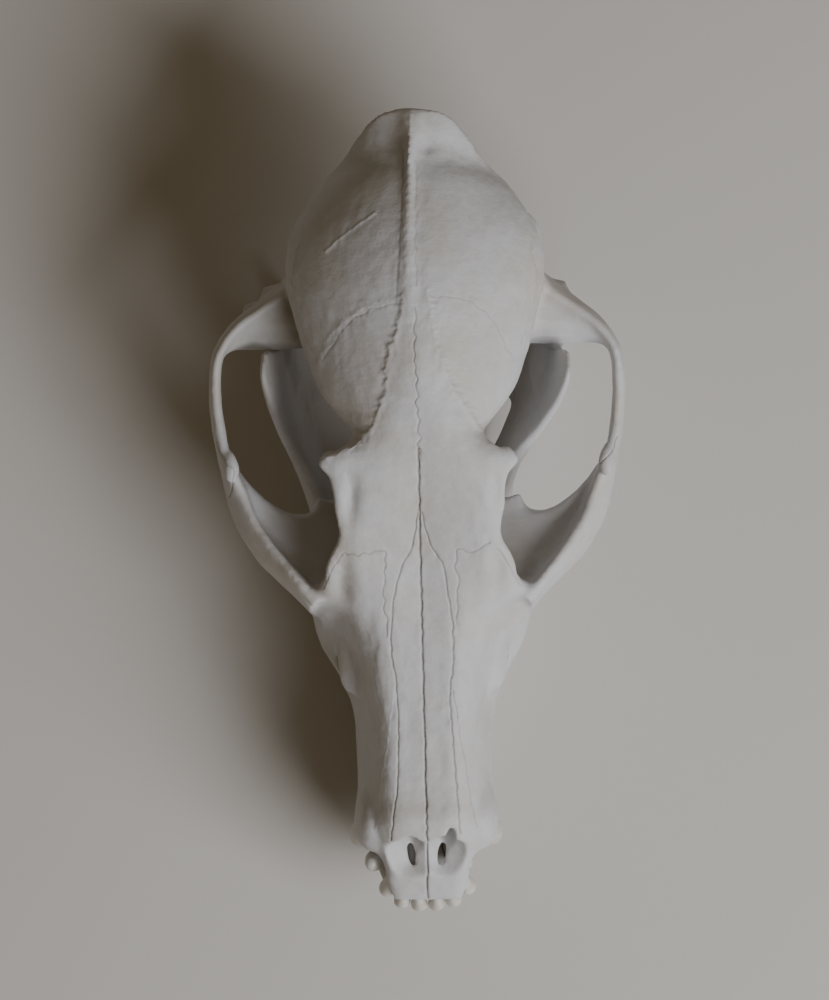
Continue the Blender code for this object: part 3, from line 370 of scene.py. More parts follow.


# Sutures, cracks and grooves on the upper side: (s, x) points, then half-width, depth, wiggle and share of
# brown.
# The brown is a suture's dark joint, but painted shade in the crest's grooves. A negative depth is a ridge.
# Right is the animal's right, where x is negative.
LINES = {
    "middle_suture": ([(2.5, 0.0), (14, 0.1), (40, 0.0), (70, 0.0), (86, 0.0)], 0.16, 0.40, 0.05, 0.8),
    "middle_suture_back": (
        [(84.5, 0.0), (88, 0.1), (95, -0.1), (103.2, -0.2), (112, -0.4)], 0.14, 0.14, 0.22, 0.4,
    ),
    "nasal_right": (
        [
            (74.6, -0.3), (68.1, -1.5), (63.5, -3.8), (57, -5.3),
            (49.6, -5.8), (40.3, -4.9), (27.4, -5.0), (13.4, -6.6),
        ],
        0.14, 0.22, 0.06, 0.5,
    ),
    "nasal_left": (
        [
            (74.0, 0.3), (68.1, 1.8), (64.4, 4.0), (59.8, 4.8), (53.3, 5.6),
            (45.9, 5.6), (41.3, 4.9), (29.2, 5.5), (14.4, 6.3),
        ],
        0.14, 0.22, 0.06, 0.5,
    ),
    "brow_right": (
        [(66.8, -13.9), (66.6, -10.0), (67.2, -6.9), (58.8, -6.9), (51.4, -6.3)], 0.13, 0.14, 0.16, 0.35,
    ),
    "brow_left": ([(68.1, 12.9), (66.8, 9.6), (67.2, 6.6), (60, 6.9), (53.3, 6.3)], 0.13, 0.14, 0.16, 0.3),
    "snout_right": (
        [(41.0, -5.6), (38.5, -5.9), (32, -6.8), (25.5, -8.0), (15.5, -9.4)], 0.16, -0.05, 0.06, 0.0,
    ),
    "snout_left": ([(41.0, 5.5), (36, 6.2), (31, 7.0), (25.5, 7.9), (15.5, 9.4)], 0.13, 0.12, 0.06, 0.25),
    "tear_right": ([(67.0, -14.0), (65.4, -15.4), (62.6, -17.2), (60.4, -18.2)], 0.14, 0.10, 0.10, 0.3),
    "tear_left": ([(67.2, 14.2), (65.2, 15.6), (62.6, 17.2), (60.4, 18.4)], 0.14, 0.10, 0.10, 0.25),
    "crown_right": (
        [(113.6, -2.8), (112.5, -8.3), (109.7, -13.0), (106.9, -15.9), (102.6, -18.0)],
        0.50, -0.07, 0.12, 0.0,
    ),
    "crown_groove_right": (
        [(112.9, -2.8), (111.8, -8.0), (109.1, -12.6), (102.4, -17.4)], 0.18, 0.05, 0.12, 0.12,
    ),
    "crown_left": (
        [(114.0, 2.8), (112.8, 10.2), (109.7, 13.8), (104.2, 16.7), (101.6, 18.0)], 0.16, 0.06, 0.12, 0.15,
    ),
    "temple_right": ([(104.6, -19.4), (110.0, -21.4), (117, -22.6), (124, -21.4)], 0.14, 0.08, 0.1, 0.08),
    "temple_left": ([(105.1, 19.3), (110.6, 21.4), (117, 22.6), (124, 21.4)], 0.14, 0.08, 0.1, 0.08),
    "vein_right": ([(122.7, -16.4), (126.0, -12.2), (129.5, -7.1)], 0.28, -0.12, 0.03, 0.0),
    # The brown share of these two grooves beside the crest is painted shade.
    "crest_groove_right": ([(141.0, -1.6), (130, -2.2), (121.7, -2.8), (113.0, -3.6)], 0.22, 0.04, 0.04, 0.3),
    "crest_groove_left": ([(139.0, 0.8), (130, 0.4), (121.7, 0.2), (116.0, 0.2)], 0.20, 0.05, 0.12, 0.2),
    "cheek_right": (
        [(88.0, -37.4), (85.7, -36.7), (84.0, -35.5), (82.8, -34.2), (80.4, -34.6), (77.7, -35.3)],
        0.13, 0.14, 0.1, 0.3,
    ),
    "cheek_left": ([(87.6, 37.0), (85.6, 36.2), (83.8, 34.8), (82.4, 33.6)], 0.13, 0.18, 0.1, 0.4),
    "nape": ([(147.4, -0.2), (143, -0.5), (139, -0.7)], 0.35, -0.12, 0.05, 0.0),
}
# The temporal lines, from the crest out to the process behind each eye: beyond them the bone steps down.
RIDGES = {
    "right": [
        (134, -1.2), (121.7, -1.9), (114.3, -2.2), (106.9, -3.6), (104.2, -5.0),
        (95.8, -6.1), (89.4, -9.2), (86.0, -13.5), (84.8, -17.2),
    ],
    "left": [
        (134, 0.2), (121.7, 0.2), (114.3, 2.2), (105.1, 3.7),
        (99.5, 5.3), (94.9, 7.9), (89.4, 11.5), (85.2, 17.4),
    ],
}
# Shallow dents in the skull's upper side: (s, x, half-length, half-width, depth).
DENTS = [
    (77.0, -12.6, 4.0, 1.5, 1.5),
    (60.5, -14.8, 5.0, 2.0, 1.9),
    (61.0, 14.4, 5.0, 1.3, 0.6),
    (78.0, 14.2, 4.5, 1.3, 0.5),
    (87.0, -11.6, 2.6, 3.2, 0.5),
    (87.0, 11.8, 2.6, 3.2, 0.5),
    (72.0, 0.0, 13.0, 2.4, 0.35),
    (50.0, -9.8, 7.0, 1.6, 0.5),
    (50.0, 9.8, 7.0, 1.6, 0.4),
    (27.0, -10.0, 6.0, 1.4, 0.4),
    (27.0, 10.0, 6.0, 1.4, 0.4),
    (30.0, -3.0, 16.0, 1.5, 0.25),
    (30.0, 3.0, 16.0, 1.5, 0.25),
]
WANDER_STEP = 1.1  # how far apart a line's turns are
RIDGE_HEIGHT = 0.10  # how far a temporal line stands out
STEP_DEPTH = 0.12  # how far the bone drops beyond it
STEP_REACH = 5.5  # how far beyond it the bone has risen again
RELAX_PASSES = 8
ROOF = 28.0  # height over which folds are evened out on every side of the bone, thin edges too
# Passes of the mesh's refinement near the lines: the longest edge left, and how near to a line.
REFINE = ((1.6, 3.6), (0.8, 1.2), (0.4, 0.5), (0.24, 0.22))


def smooth(knots, at):
    """Values at some parameters, on a smooth curve through knots whose first column is the parameter."""
    knots = np.asarray(knots, float)
    t, v = knots[:, 0], knots[:, 1:]
    slope = np.gradient(v, t, axis=0)
    i = np.clip(np.searchsorted(t, at) - 1, 0, len(t) - 2)
    width = (t[i + 1] - t[i])[:, None]
    u = (at - t[i])[:, None] / width
    rise = u * u * (3 - 2 * u)
    bend = width * u * (1 - u) * ((1 - u) * slope[i] - u * slope[i + 1])
    return (1 - rise) * v[i] + rise * v[i + 1] + bend


def by_length(points):
    """The same points, each led by a measure of its distance along them that keeps the curve from looping."""
    steps = np.linalg.norm(np.diff(points, axis=0), axis=1) ** 0.5
    return np.column_stack([np.concatenate([[0], np.cumsum(steps)]), points])


def resample(rows, count):
    """Count rows evenly spread on a smooth curve through the rows given."""
    knots = by_length(np.asarray(rows, float))
    return smooth(knots, np.linspace(0, knots[-1, 0], count))


def skin(rings):
    """(points, faces) of a closed tube through the rings, capped at both ends."""
    rings = np.asarray(rings, float)
    n, m = rings.shape[:2]
    i, j = np.meshgrid(np.arange(n - 1), np.arange(m), indexing="ij")
    k = (j + 1) % m
    quads = np.stack([i * m + j, i * m + k, (i + 1) * m + k, (i + 1) * m + j], axis=2).reshape(-1, 4)
    caps = [tuple(range(m))[::-1], tuple(range((n - 1) * m, n * m))]
    return rings.reshape(-1, 3), [*map(tuple, quads.tolist()), *caps]


def body_ring(half, count):
    """The closed loop of a half-section and its mirror image, as count points."""
    loop = np.concatenate([half, half[-2:0:-1] * (-1, 1)])
    knots = by_length(np.concatenate([loop[-3:], loop, loop[:4]]))
    first, last = knots[3, 0], knots[3 + len(loop), 0]
    return smooth(knots, np.linspace(first, last, count, endpoint=False))


def body(rings=260, sides=140):
    """The skull's main body, through its half-sections."""
    stations = sorted(BODY)
    table = np.array([[s, *np.ravel(BODY[s])] for s in stations], float)
    at = np.linspace(stations[0], stations[-1], rings)
    halves = smooth(table, at).reshape(rings, -1, 2)
    loops = [body_ring(half, sides) for half in halves]
    return skin([np.column_stack([np.full(sides, s), loop]) for s, loop in zip(at, loops)])


def ribbon(table, rings=90, sides=32, square=2.6):
    """A plate between two edges: a table of rows of (near point, far point, (near, far) thickness)."""
    rows = resample([np.ravel([*near, *far, *thick]) for near, far, thick in table], rings)
    a, b, t = rows[:, :3], rows[:, 3:6], rows[:, 6:]
    along = np.gradient((a + b) / 2, axis=0)
    face = np.cross(along, b - a)
    face /= np.linalg.norm(face, axis=1)[:, None]
    turn = np.linspace(0, 2 * math.pi, sides, endpoint=False)
    across = np.sign(np.cos(turn)) * np.abs(np.cos(turn)) ** (2 / square)
    out = np.sign(np.sin(turn)) * np.abs(np.sin(turn)) ** (2 / square)
    share = (1 + across) / 2
    middle = a[:, None] + (b - a)[:, None] * share[None, :, None]
    half = (t[:, :1] + (t[:, 1:] - t[:, :1]) * share) / 2
    return skin(middle + face[:, None] * (half * out)[:, :, None])


def tube(path, rings=48, sides=28, lead=(0, 1, 0)):
    """A tube along (s, x, z, radius, radius) rows, the second radius the one nearer to the lead."""
    rows = resample(path, rings)
    along = np.gradient(rows[:, :3], axis=0)
    across = np.cross(along, lead)
    across /= np.linalg.norm(across, axis=1)[:, None]
    out = np.cross(across, along)
    out /= np.linalg.norm(out, axis=1)[:, None]
    turn = np.linspace(0, 2 * math.pi, sides, endpoint=False)[None, :, None]
    wide, high = rows[:, 3, None, None], rows[:, 4, None, None]
    rim = across[:, None] * np.cos(turn) * wide + out[:, None] * np.sin(turn) * high
    return skin(rows[:, None, :3] + rim)


def turned(first, second, degrees):
    """Two coordinates after a turn from the first axis towards the second."""
    c, d = math.cos(math.radians(degrees)), math.sin(math.radians(degrees))
    return first * c - second * d, first * d + second * c


def ball(centre, radii, yaw=0.0, pitch=0.0, rings=40, sides=48):
    """An ellipsoid with (s, x, z) radii, turned in degrees by pitch and then by yaw."""
    lift = np.linspace(-0.985, 0.985, rings) * math.pi / 2
    turn = np.linspace(0, 2 * math.pi, sides, endpoint=False)
    along = np.sin(lift)[:, None] * np.ones(sides) * radii[0]
    aside = np.cos(lift)[:, None] * np.cos(turn) * radii[1]
    above = np.cos(lift)[:, None] * np.sin(turn) * radii[2]
    along, above = turned(along, above, pitch)
    along, aside = turned(along, aside, yaw)
    return skin(np.stack([along, aside, above], axis=2) + np.asarray(centre, float))


def mirrored(piece):
    """A piece on the other side of the midline."""
    points, faces = piece
    return points * (1, -1, 1), [face[::-1] for face in faces]


# Fields: a bone is (first, values), the grid index of its lowest corner and its distances, below 0 inside.


def measure(piece, reach=REACH):
    """The field of one closed piece, exact near its surface and held at the reach beyond."""
    points, faces = piece
    triangles = [(f[0], f[i], f[i + 1]) for f in faces if len(f) != 4 for i in range(1, len(f) - 1)]
    quads = [f for f in faces if len(f) == 4]
    grid = vdb.FloatGrid.createLevelSetFromPolygons(
        np.asarray(points, np.float32),
        triangles=np.array(triangles, np.uint32).reshape(-1, 3),
        quads=np.array(quads, np.uint32).reshape(-1, 4),
        transform=vdb.createLinearTransform(CELL),
        halfWidth=reach / CELL,
    )
    first = np.floor((points.min(axis=0) - reach) / CELL).astype(int)
    size = np.ceil((points.max(axis=0) + reach) / CELL).astype(int) - first + 1
    values = np.empty(size, np.float32)
    grid.copyToArray(values, ijk=tuple(int(i) for i in first))
    return first, values


def overlap(field, other):
    """The slices of a field's grid and of another's that cover the same cells, or nothing."""
    (first, values), (start, part) = field, other
    low = np.maximum(first, start)
    high = np.minimum(first + values.shape, start + part.shape)
    if (high <= low).any():
        return None
    here = tuple(slice(a, b) for a, b in zip(low - first, high - first))
    there = tuple(slice(a, b) for a, b in zip(low - start, high - start))
    return here, there


def add(field, other, round_by):
    """Blend another field into this one, rounding the join."""
    found = overlap(field, other)
    if found:
        here, there = found
        a, b = field[1][here], other[1][there]
        share = np.clip(0.5 + 0.5 * (b - a) / round_by, 0, 1)
        field[1][here] = b + (a - b) * share - round_by * share * (1 - share)


def cut(field, other, round_by):
    """Take another field out of this one, rounding the edge."""
    found = overlap(field, other)
    if found:
        here, there = found
        a, b = field[1][here], -other[1][there]
        share = np.clip(0.5 - 0.5 * (b - a) / round_by, 0, 1)
        field[1][here] = b + (a - b) * share + round_by * share * (1 - share)


def blur(values, width):
    """Values averaged over a box a number of cells wide, twice, along every axis."""
    for axis in (0, 1, 2, 0, 1, 2):
        pad = [(width, width) if i == axis else (0, 0) for i in range(3)]
        total = np.cumsum(np.pad(values, pad, mode="edge"), axis=axis, dtype=np.float64)
        ahead = np.take(total, range(2 * width, total.shape[axis]), axis=axis)
        behind = np.take(total, range(0, total.shape[axis] - 2 * width), axis=axis)
        values = ((ahead - behind) / (2 * width)).astype(np.float32)
    return values


def sample(field, points):
    """A field's values at points in millimetres."""
    first, values = field
    at = points / CELL - first
    low = np.clip(np.floor(at).astype(int), 0, np.array(values.shape) - 2)
    part = at - low
    found = 0.0
    for corner in np.ndindex(2, 2, 2):
        weight = np.prod(np.where(corner, part, 1 - part), axis=1)
        found = found + weight * values[tuple((low + corner).T)]
    return found


def empty(low, high):
    """An empty field between two corners in millimetres."""
    first = np.floor(np.array(low) / CELL).astype(int)
    size = np.ceil(np.array(high) / CELL).astype(int) - first + 1
    return first, np.full(size, REACH, np.float32)


def flipped(field):
    """A field mirrored across the midline."""
    first, values = field
    start = np.array([first[0], -(first[1] + values.shape[1] - 1), first[2]])
    return start, values[:, ::-1, :]


def raised(field, height):
    """A field moved up by a height in millimetres."""
    first, values = field
    return first + np.array([0, 0, round(height / CELL)]), values


def surface(field):
    """The points and quads of a field's surface."""
    first, values = field
    grid = vdb.FloatGrid(REACH)
    grid.transform = vdb.createLinearTransform(CELL)
    grid.copyFromArray(values, ijk=tuple(int(i) for i in first))
    points, quads = grid.convertToQuads(0.0)
    return np.asarray(points, float), np.asarray(quads)


def cranium_pieces():
    """The cranium's pieces, with the roundness of each join."""
    paired = [
        (ribbon(ARCH, rings=150), 2.4),
        (ribbon(ORBIT_FLOOR), 2.4),
        (ribbon(JOINT_SHELF), 3.0),
        (ribbon(JOINT_STOP), 1.6),
        (ribbon(NUCHAL_CREST, rings=120), 2.4),
        (ribbon(PTERYGOID), 1.4),
        (tube(MASTOID_SPUR), 2.0),
        (tube(EAR_RIM, lead=(1, 0, 0)), 1.4),
        (ball((84.6, 16.4, 35.1), (1.3, 1.4, 1.0), yaw=20), 1.2),  # process behind the eye
        (ball((83.2, 34.7, 17.4), (2.9, 1.5, 1.6)), 1.2),  # process of the cheek bone
        (ball((46.6, 13.6, 8.2), (5.4, 2.0, 1.8)), 2.4),  # ridge over the nerve's opening
        (ball((17.2, 10.4, 4.0), (4.8, 2.3, 7.4)), 2.6),  # root of the canine
        (ball((120.5, 12.4, 7.2), (10.0, 6.8, 6.4), yaw=-14), 1.2),  # ear's drum
        (ball((124.6, 20.4, 13.6), (4.4, 2.8, 4.4)), 2.4),  # mastoid
        (ball((139.4, 7.9, 13.6), (4.2, 4.5, 4.8), yaw=25), 1.6),  # neck's joint
    ]
    found = [(body(), 0.5), (ribbon(SAGITTAL_CREST), 1.6)]
    for piece, round_by in paired:
        found += [(piece, round_by), (mirrored(piece), round_by)]
    return found


def cranium_hollows():
    """What is hollowed out of the cranium, with the roundness of each edge."""
    paired = [
        (ball((8.4, 3.2, 11.4), (5.6, 5.6, 5.6)), 0.7),  # nasal opening
        (tube(NASAL_CAVITY), 0.8),
        (ball((10.8, 2.8, 3.0), (2.5, 0.75, 5.0), yaw=9), 0.4),  # slit in the palate
        (ball((9.3, 10.0, -1.0), (2.8, 5.0, 5.8)), 0.8),  # notch for the lower canine
        (ball((83.2, 27.0, 11.0), (11.3, 5.4, 14.0), yaw=40), 1.0),  # free edge of the eye socket's floor
        (tube(NERVE_OPENING), 0.8),
        (tube(EAR_OPENING, lead=(1, 0, 0)), 0.8),
    ]
    found = [(tube(SPINE_OPENING), 1.2), (tube(AIRWAY), 0.8)]
    found += [(ball((13.8, 4.6, 15.0), (2.0, 0.9, 4.0)), 0.4)]  # notch in the left nasal's front edge
    for piece, round_by in paired:
        found += [(piece, round_by), (mirrored(piece), round_by)]
    return found


def jaw_pieces():
    """The pieces of the jaw's left half, with the roundness of each join."""
    return [
        (ribbon(JAW, rings=200, sides=48), 0.5),
        (tube(ANGULAR_PROCESS), 3.0),
        (tube(JAW_NECK), 3.0),
        (ball((111.0, 25.8, 29.5), (2.6, 6.4, 2.7), yaw=-8), 1.6),  # condyle
    ]


def jaw_hollows():
    """What is hollowed out of it, with the roundness of each edge."""
    return [
        (ball((96.5, 31.6, 21.0), (12.5, 6.4, 13.0), pitch=-20), 1.6),  # hollow for the chewing muscle
        (ball((23.5, 7.9, 9.4), (1.6, 1.6, 1.0)), 0.6),  # nerve's opening by the chin
        (ball((94.0, 19.0, 19.0), (2.2, 1.6, 1.4)), 0.6),  # nerve's opening inside the jaw
    ]


def blended(field, pieces, hollows):
    """A field with its pieces joined and its hollows cut."""
    for piece, round_by in pieces:
        add(field, measure(piece), round_by)
    for piece, round_by in hollows:
        cut(field, measure(piece), round_by)
    return field


def cranium_field():
    return blended(empty((0, -42, -4), (152, 42, 48)), cranium_pieces(), cranium_hollows())


def jaw_field():
    return blended(empty((0, -4, -3), (122, 38, 52)), jaw_pieces(), jaw_hollows())


def hollowness(field, width):
    """How much bone surrounds each cell, from 0 to 1: a half on a flat face and more where the surface is
    sunk, which sets the painted shade.
    """
    first, values = field
    filled = np.clip(0.5 - values / CELL, 0, 1)
    return first, blur(filled, width)


# Teeth


def cheek_tooth(tooth, sign, sides=32):
    """One cheek tooth, from its root's tip over the crown: sign is -1 for a crown that points down."""
    s, x, yaw, length, width, crown, root, lean, edge = tooth
    turn = np.linspace(0, 2 * math.pi, sides, endpoint=False)
    wide = width / length > 0.8
    # Below the crown: shares of the length and of the width, lean out and height.
    layers = [(0.45, 0.40, -ROOT_LEAN * root, -root), (0.80, 0.72, -ROOT_LEAN * root * 0.6, -root * 0.6)]
    layers += [(0.93, 0.90, 0, -0.3), (0.99, 0.99, 0, 0.1 * crown), (1.0, 1.0, 0.02, 0.2 * crown)]
    c, d = math.cos(math.radians(yaw)), math.sin(math.radians(yaw))
    rings = []

    def ring(u, v, shift, z):
        a, b = u * length / 2, v * width / 2 + shift
        height = sign * np.broadcast_to(z, u.shape)
        rings.append(np.column_stack([s + a * c - b * d, x + a * d + b * c, height]))

    for long, across, shift, z in layers:
        ring(-np.cos(turn) * long, np.sin(turn) * across, shift, z)
    count = len(edge)
    for r in np.linspace(0.985, 0.03, 16):
        u, v = -np.cos(turn) * r, np.sin(turn) * r
        top = smooth(np.column_stack([np.linspace(-1, 1, count), edge]), np.clip(u, -1, 1))[:, 0]
        if wide:
            outer = np.exp(-(((v - 0.55) / 0.30) ** 2))
            inner = 0.62 * np.exp(-(((v + 0.55) / 0.34) ** 2) - ((u + 0.15) / 0.5) ** 2)
            share = np.maximum(0.34, np.maximum(outer * top, inner))
            share = share * (1 - r**6) + 0.25 * r**6
        else:
            fall = np.clip(1 - (np.abs(v) / np.sqrt(np.clip(1.02 - u * u, 0.02, 1))) ** 1.25, 0, 1)
            share = 0.22 + (top - 0.22) * fall
        ring(u, v, lean * max(0, 1 - r), crown * share)
    return skin(rings)


def peg(path):
    """A single-rooted tooth."""
    return tube(path, rings=44, sides=28)


def placed(points, base):
    """Points in the model's axes, in metres, from (s, x, z) in millimetres above the base height."""
    s, x, z = np.asarray(points, float).T
    return np.column_stack([x, s - MIDDLE, z + base]) * MM


def leaning(points):
    """Points of the jaw's left half, which bows in towards the middle under the cheek."""
    s, x, z = points.T
    return np.column_stack([s, x - LEAN * np.exp(-(((s - LEAN_AT) / LEAN_LENGTH) ** 2)), z])


def across(points):
    """Points mirrored over the midline."""
    return points * (1, -1, 1)


def swung(points):
    """Jaw points turned about the upright line midway between the joints."""
    s, x, z = points.T
    s, x = turned(s - JOINT_LINE, x, -JAW_SWING)
    return np.column_stack([JOINT_LINE + s, x, z])


def linked(name, data):
    """A new object in the scene."""
    made = bpy.data.objects.new(name, data)
    bpy.context.collection.objects.link(made)
    return made


def stand_for(made, node):
    """Let an object ride on the skull in place of a node of the frame."""
    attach(made, "root")
    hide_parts(node)


def mesh_object(name, points, faces, node, material):
    """A smooth-shaded object that stands for a node of the frame."""
    mesh = bpy.data.meshes.new(name)
    mesh.from_pydata(points.tolist(), [], [tuple(f) for f in faces])
    made = linked(name, mesh)
    bm = bmesh.new()
    bm.from_mesh(mesh)
    bmesh.ops.recalc_face_normals(bm, faces=bm.faces)
    bm.to_mesh(mesh)
    bm.free()
    mesh.shade_smooth()
    mesh.materials.append(material)
    stand_for(made, node)
    return made


def thinned(points, quads, triangles):
    """A surface's points and triangles after collapsing its mesh to about a number of triangles."""
    mesh = bpy.data.meshes.new("thick")
    mesh.from_pydata(points.tolist(), [], quads.tolist())
    thick = linked("thick", mesh)
    thin = thick.modifiers.new("Thin out", "DECIMATE")
    thin.ratio = min(1.0, triangles / (2 * len(quads)))
    thin.use_collapse_triangulate = True
    done = bpy.data.meshes.new_from_object(thick.evaluated_get(bpy.context.evaluated_depsgraph_get()))
    bpy.data.objects.remove(thick)
    bpy.data.meshes.remove(mesh)
    return done


def traced(points, wiggle, seed):
    """A line's close-set points: a smooth curve that wanders a little to each side."""
    rng = np.random.default_rng(seed)
    rows = resample(points, 24 * len(points))
    length = np.concatenate([[0], np.cumsum(np.linalg.norm(np.diff(rows, axis=0), axis=1))])
    at = np.arange(0, length[-1], 0.08)
    s, x = np.interp(at, length, rows[:, 0]), np.interp(at, length, rows[:, 1])
    along = np.gradient(np.column_stack([s, x]), axis=0)
    along /= np.linalg.norm(along, axis=1)[:, None]
    steps = np.arange(0, length[-1] + 2, WANDER_STEP)
    wander = smooth(np.column_stack([steps, rng.uniform(-1, 1, len(steps))]), at)[:, 0] * wiggle * 2
    return np.column_stack([s - along[:, 1] * wander, x + along[:, 0] * wander])


def nearest(points, trace, inside):
    """For the points inside: their distance from a line seen from above, and which side of it they are on."""
    tree = kdtree.KDTree(len(trace))
    for i, (s, x) in enumerate(trace):
        tree.insert((s, x, 0), i)
    tree.balance()
    away, side = np.full(len(points), 9.0), np.zeros(len(points))
    along = np.gradient(trace, axis=0)
    for i in np.flatnonzero(inside):
        s, x = points[i, 0], points[i, 1]
        _, at, away[i] = tree.find((s, x, 0))
        side[i] = along[at, 0] * (x - trace[at, 1]) - along[at, 1] * (s - trace[at, 0])
    return away, np.sign(side)


def within(points, trace, reach, facing_up):
    """Which upward-facing points are inside the box round a line."""
    low, high = trace.min(axis=0) - reach, trace.max(axis=0) + reach
    return ((points[:, :2] > low) & (points[:, :2] < high)).all(axis=1) & facing_up


def near_lines(points, facing_up, reach):
    """For every line, each point's distance from it seen from above; only for faces that look up."""
    found = {}
    for seed, (name, (path, _, _, wiggle, _)) in enumerate(LINES.items()):
        trace = traced(path, wiggle, seed)
        found[name], _ = nearest(points, trace, within(points, trace, reach, facing_up))
    return found


def near_ridges(points, facing_up):
    """For both temporal lines, each point's distance from it and whether the point lies outside it."""
    found = []
    for seed, (name, path) in enumerate(RIDGES.items(), 90):
        trace = traced(path, 0.12, seed)
        away, side = nearest(points, trace, within(points, trace, STEP_REACH + 3, facing_up))
        found.append((away, side > 0 if name == "right" else side < 0))
    return found


def refined(bm, close, longest):
    """Split the edges longer than a length that have an end close to a line."""
    edges = [e for e in bm.edges if e.calc_length() > longest and any(close[v.index] for v in e.verts)]
    bmesh.ops.subdivide_edges(bm, edges=edges, cuts=1)
    bmesh.ops.triangulate(bm, faces=[f for f in bm.faces if len(f.verts) > 3])
    bm.verts.ensure_lookup_table()
    bm.verts.index_update()


def roughened(points):
    """How far each of the cranium's points stands out or in for low swellings, streaks and pits."""
    rise = np.zeros(len(points))
    for i, (s, x, z) in enumerate(points):
        low = noise.noise((s * 0.11, x * 0.11, z * 0.11))
        mid = noise.noise((s * 0.35 + 7, x * 0.55, z * 0.55))
        fine = noise.noise((s * 0.9 + 3, x * 1.3, z * 1.3))
        rise[i] = 0.16 * low + 0.11 * mid + 0.05 * fine
    return rise


def streaked(points):
    """Extra relief where the animal's right cheek and braincase are streaked and pitted."""
    rise = np.zeros(len(points))
    cheek = np.exp(-(((points[:, 0] - 47) / 9) ** 2) - ((points[:, 1] + 11) / 4.5) ** 2)
    brain = np.exp(-(((points[:, 0] - 119) / 13) ** 2) - ((points[:, 1] + 11) / 8) ** 2)
    for i in np.flatnonzero((cheek > 0.05) | (brain > 0.05)):
        s, x, z = points[i]
        lengthwise = noise.noise((s * 0.22, x * 1.1, z * 1.1 + 4))
        pitted = abs(noise.noise((s * 0.8, x * 0.8 + 9, z * 0.8)))
        rise[i] = 0.26 * cheek[i] * lengthwise - 0.12 * brain[i] * pitted
    return rise


def stepped(points, facing_up):
    """The temporal lines' ridges, with the ragged step down and the comb of small furrows beyond them."""
    rise = np.zeros(len(points))
    for away, beyond in near_ridges(points, facing_up):
        ragged, furrows = np.zeros((2, len(points)))
        for i in np.flatnonzero(away < STEP_REACH + 3):
            s, x = points[i, 0], points[i, 1]
            ragged[i] = noise.noise((s * 1.1, x * 0.6, 2.0))
            furrows[i] = noise.noise((s * 1.5, x * 0.5, 5.0))
        edge = np.clip((away + 0.6 * ragged) / 0.7, 0, 1)
        step = edge * edge * (3 - 2 * edge) * np.exp(-((away / STEP_REACH) ** 2))
        fade = np.clip((118 - points[:, 0]) / 8, 0, 1)
        comb = 0.15 * furrows * np.exp(-(((away - 1.0) / 0.9) ** 2))
        rise += fade * RIDGE_HEIGHT * np.exp(-((away / 0.55) ** 2))
        rise += np.where(beyond, fade * (comb - STEP_DEPTH * step), 0)
    return rise


def relaxed(bm, limit):
    """Even out the corners of folded triangles, which face away from those round them."""
    for _ in range(RELAX_PASSES):
        bm.normal_update()
        folds = [f for f in bm.faces if min(f.normal.dot(v.normal) for v in f.verts) < limit]
        corners = {v for f in folds for v in f.verts}
        verts = [v for v in corners if v.co.z > ROOF or (v.normal.z > 0 and v.co.z > 0)]
        bmesh.ops.smooth_vert(bm, verts=verts, factor=0.5, use_axis_x=True, use_axis_y=True, use_axis_z=True)


def carve(mesh, hollow_shade):
    """Cut the lines, dents and roughness into the cranium's mesh and note its seams, with the painted shade
    in the crest's grooves, and how sunk each point is, for the painted shade in hollows.
    """
    bm = bmesh.new()
    bm.from_mesh(mesh)
    relaxed(bm, 0.5)
    for longest, reach in REFINE:
        points, normals = read(bm)
        away = [*near_lines(points, normals[:, 2] > 0.1, reach).values()]
        away += [ridge / 2 for ridge, _ in near_ridges(points, normals[:, 2] > 0.1)]
        refined(bm, np.min(away, axis=0) < reach, longest)
    points, normals = read(bm)
    away = near_lines(points, normals[:, 2] > 0.1, 1.6)
    rise = roughened(points) + streaked(points) + stepped(points, normals[:, 2] > 0.1)
    seam_and_groove_shade = np.zeros(len(points))
    # Each line's brown: the dark joint of a suture, and painted shade for the crest's grooves.
    for name, (_, width, depth, _, brown) in LINES.items():
        share = np.exp(-((away[name] / width) ** 2))
        rise -= depth * share
        seam_and_groove_shade = np.maximum(seam_and_groove_shade, brown * share)
    for s, x, long, wide, depth in DENTS:
        near = np.exp(-(((points[:, 0] - s) / long) ** 2) - ((points[:, 1] - x) / wide) ** 2)
        rise -= depth * near * np.clip(normals[:, 2], 0, 1)
    points = points + normals * rise[:, None]
    for vert, at in zip(bm.verts, points):
        vert.co = at
    relaxed(bm, 0.6)
    points, _ = read(bm)
    bm.to_mesh(mesh)
    bm.free()
    return points, seam_and_groove_shade, sample(hollow_shade, points)


def vertices(mesh):
    """A mesh's points and their normals."""
    bm = bmesh.new()
    bm.from_mesh(mesh)
    found = read(bm)
    bm.free()
    return found


def read(bm):
    """The points being edited and their normals."""
    bm.normal_update()
    points = np.array([v.co for v in bm.verts])
    return points, np.array([v.normal for v in bm.verts])


def finish_bone(name, mesh, points, base, node, material, marks):
    """Put the bone in its place, with its marks as point attributes."""
    mesh.vertices.foreach_set("co", placed(points, base).astype(np.float32).ravel())
    mesh.flip_normals()
    mesh.shade_smooth()
    for label, values in marks.items():
        mesh.attributes.new(label, "FLOAT", "POINT").data.foreach_set("value", values.astype(np.float32))
    mesh.materials.append(material)
    stand_for(linked(name, mesh), node)


def collar(tooth, sign):
    """The field of the room for a tooth's neck: the tooth itself, no deeper than its collar."""
    first, values = measure(tooth, COLLAR_REACH)
    z = (first[2] + np.arange(values.shape[2])) * CELL
    deeper = -z - COLLAR if sign > 0 else z - COLLAR
    return first, np.maximum(values - SLACK, deeper[None, None, :].astype(np.float32))


# Materials


def colour(text):
    """A linear colour from an sRGB one written as six hex digits."""
    parts = [int(text[i : i + 2], 16) / 255 for i in (0, 2, 4)]
    return (*[p / 12.92 if p <= 0.04045 else ((p + 0.055) / 1.055) ** 2.4 for p in parts], 1.0)


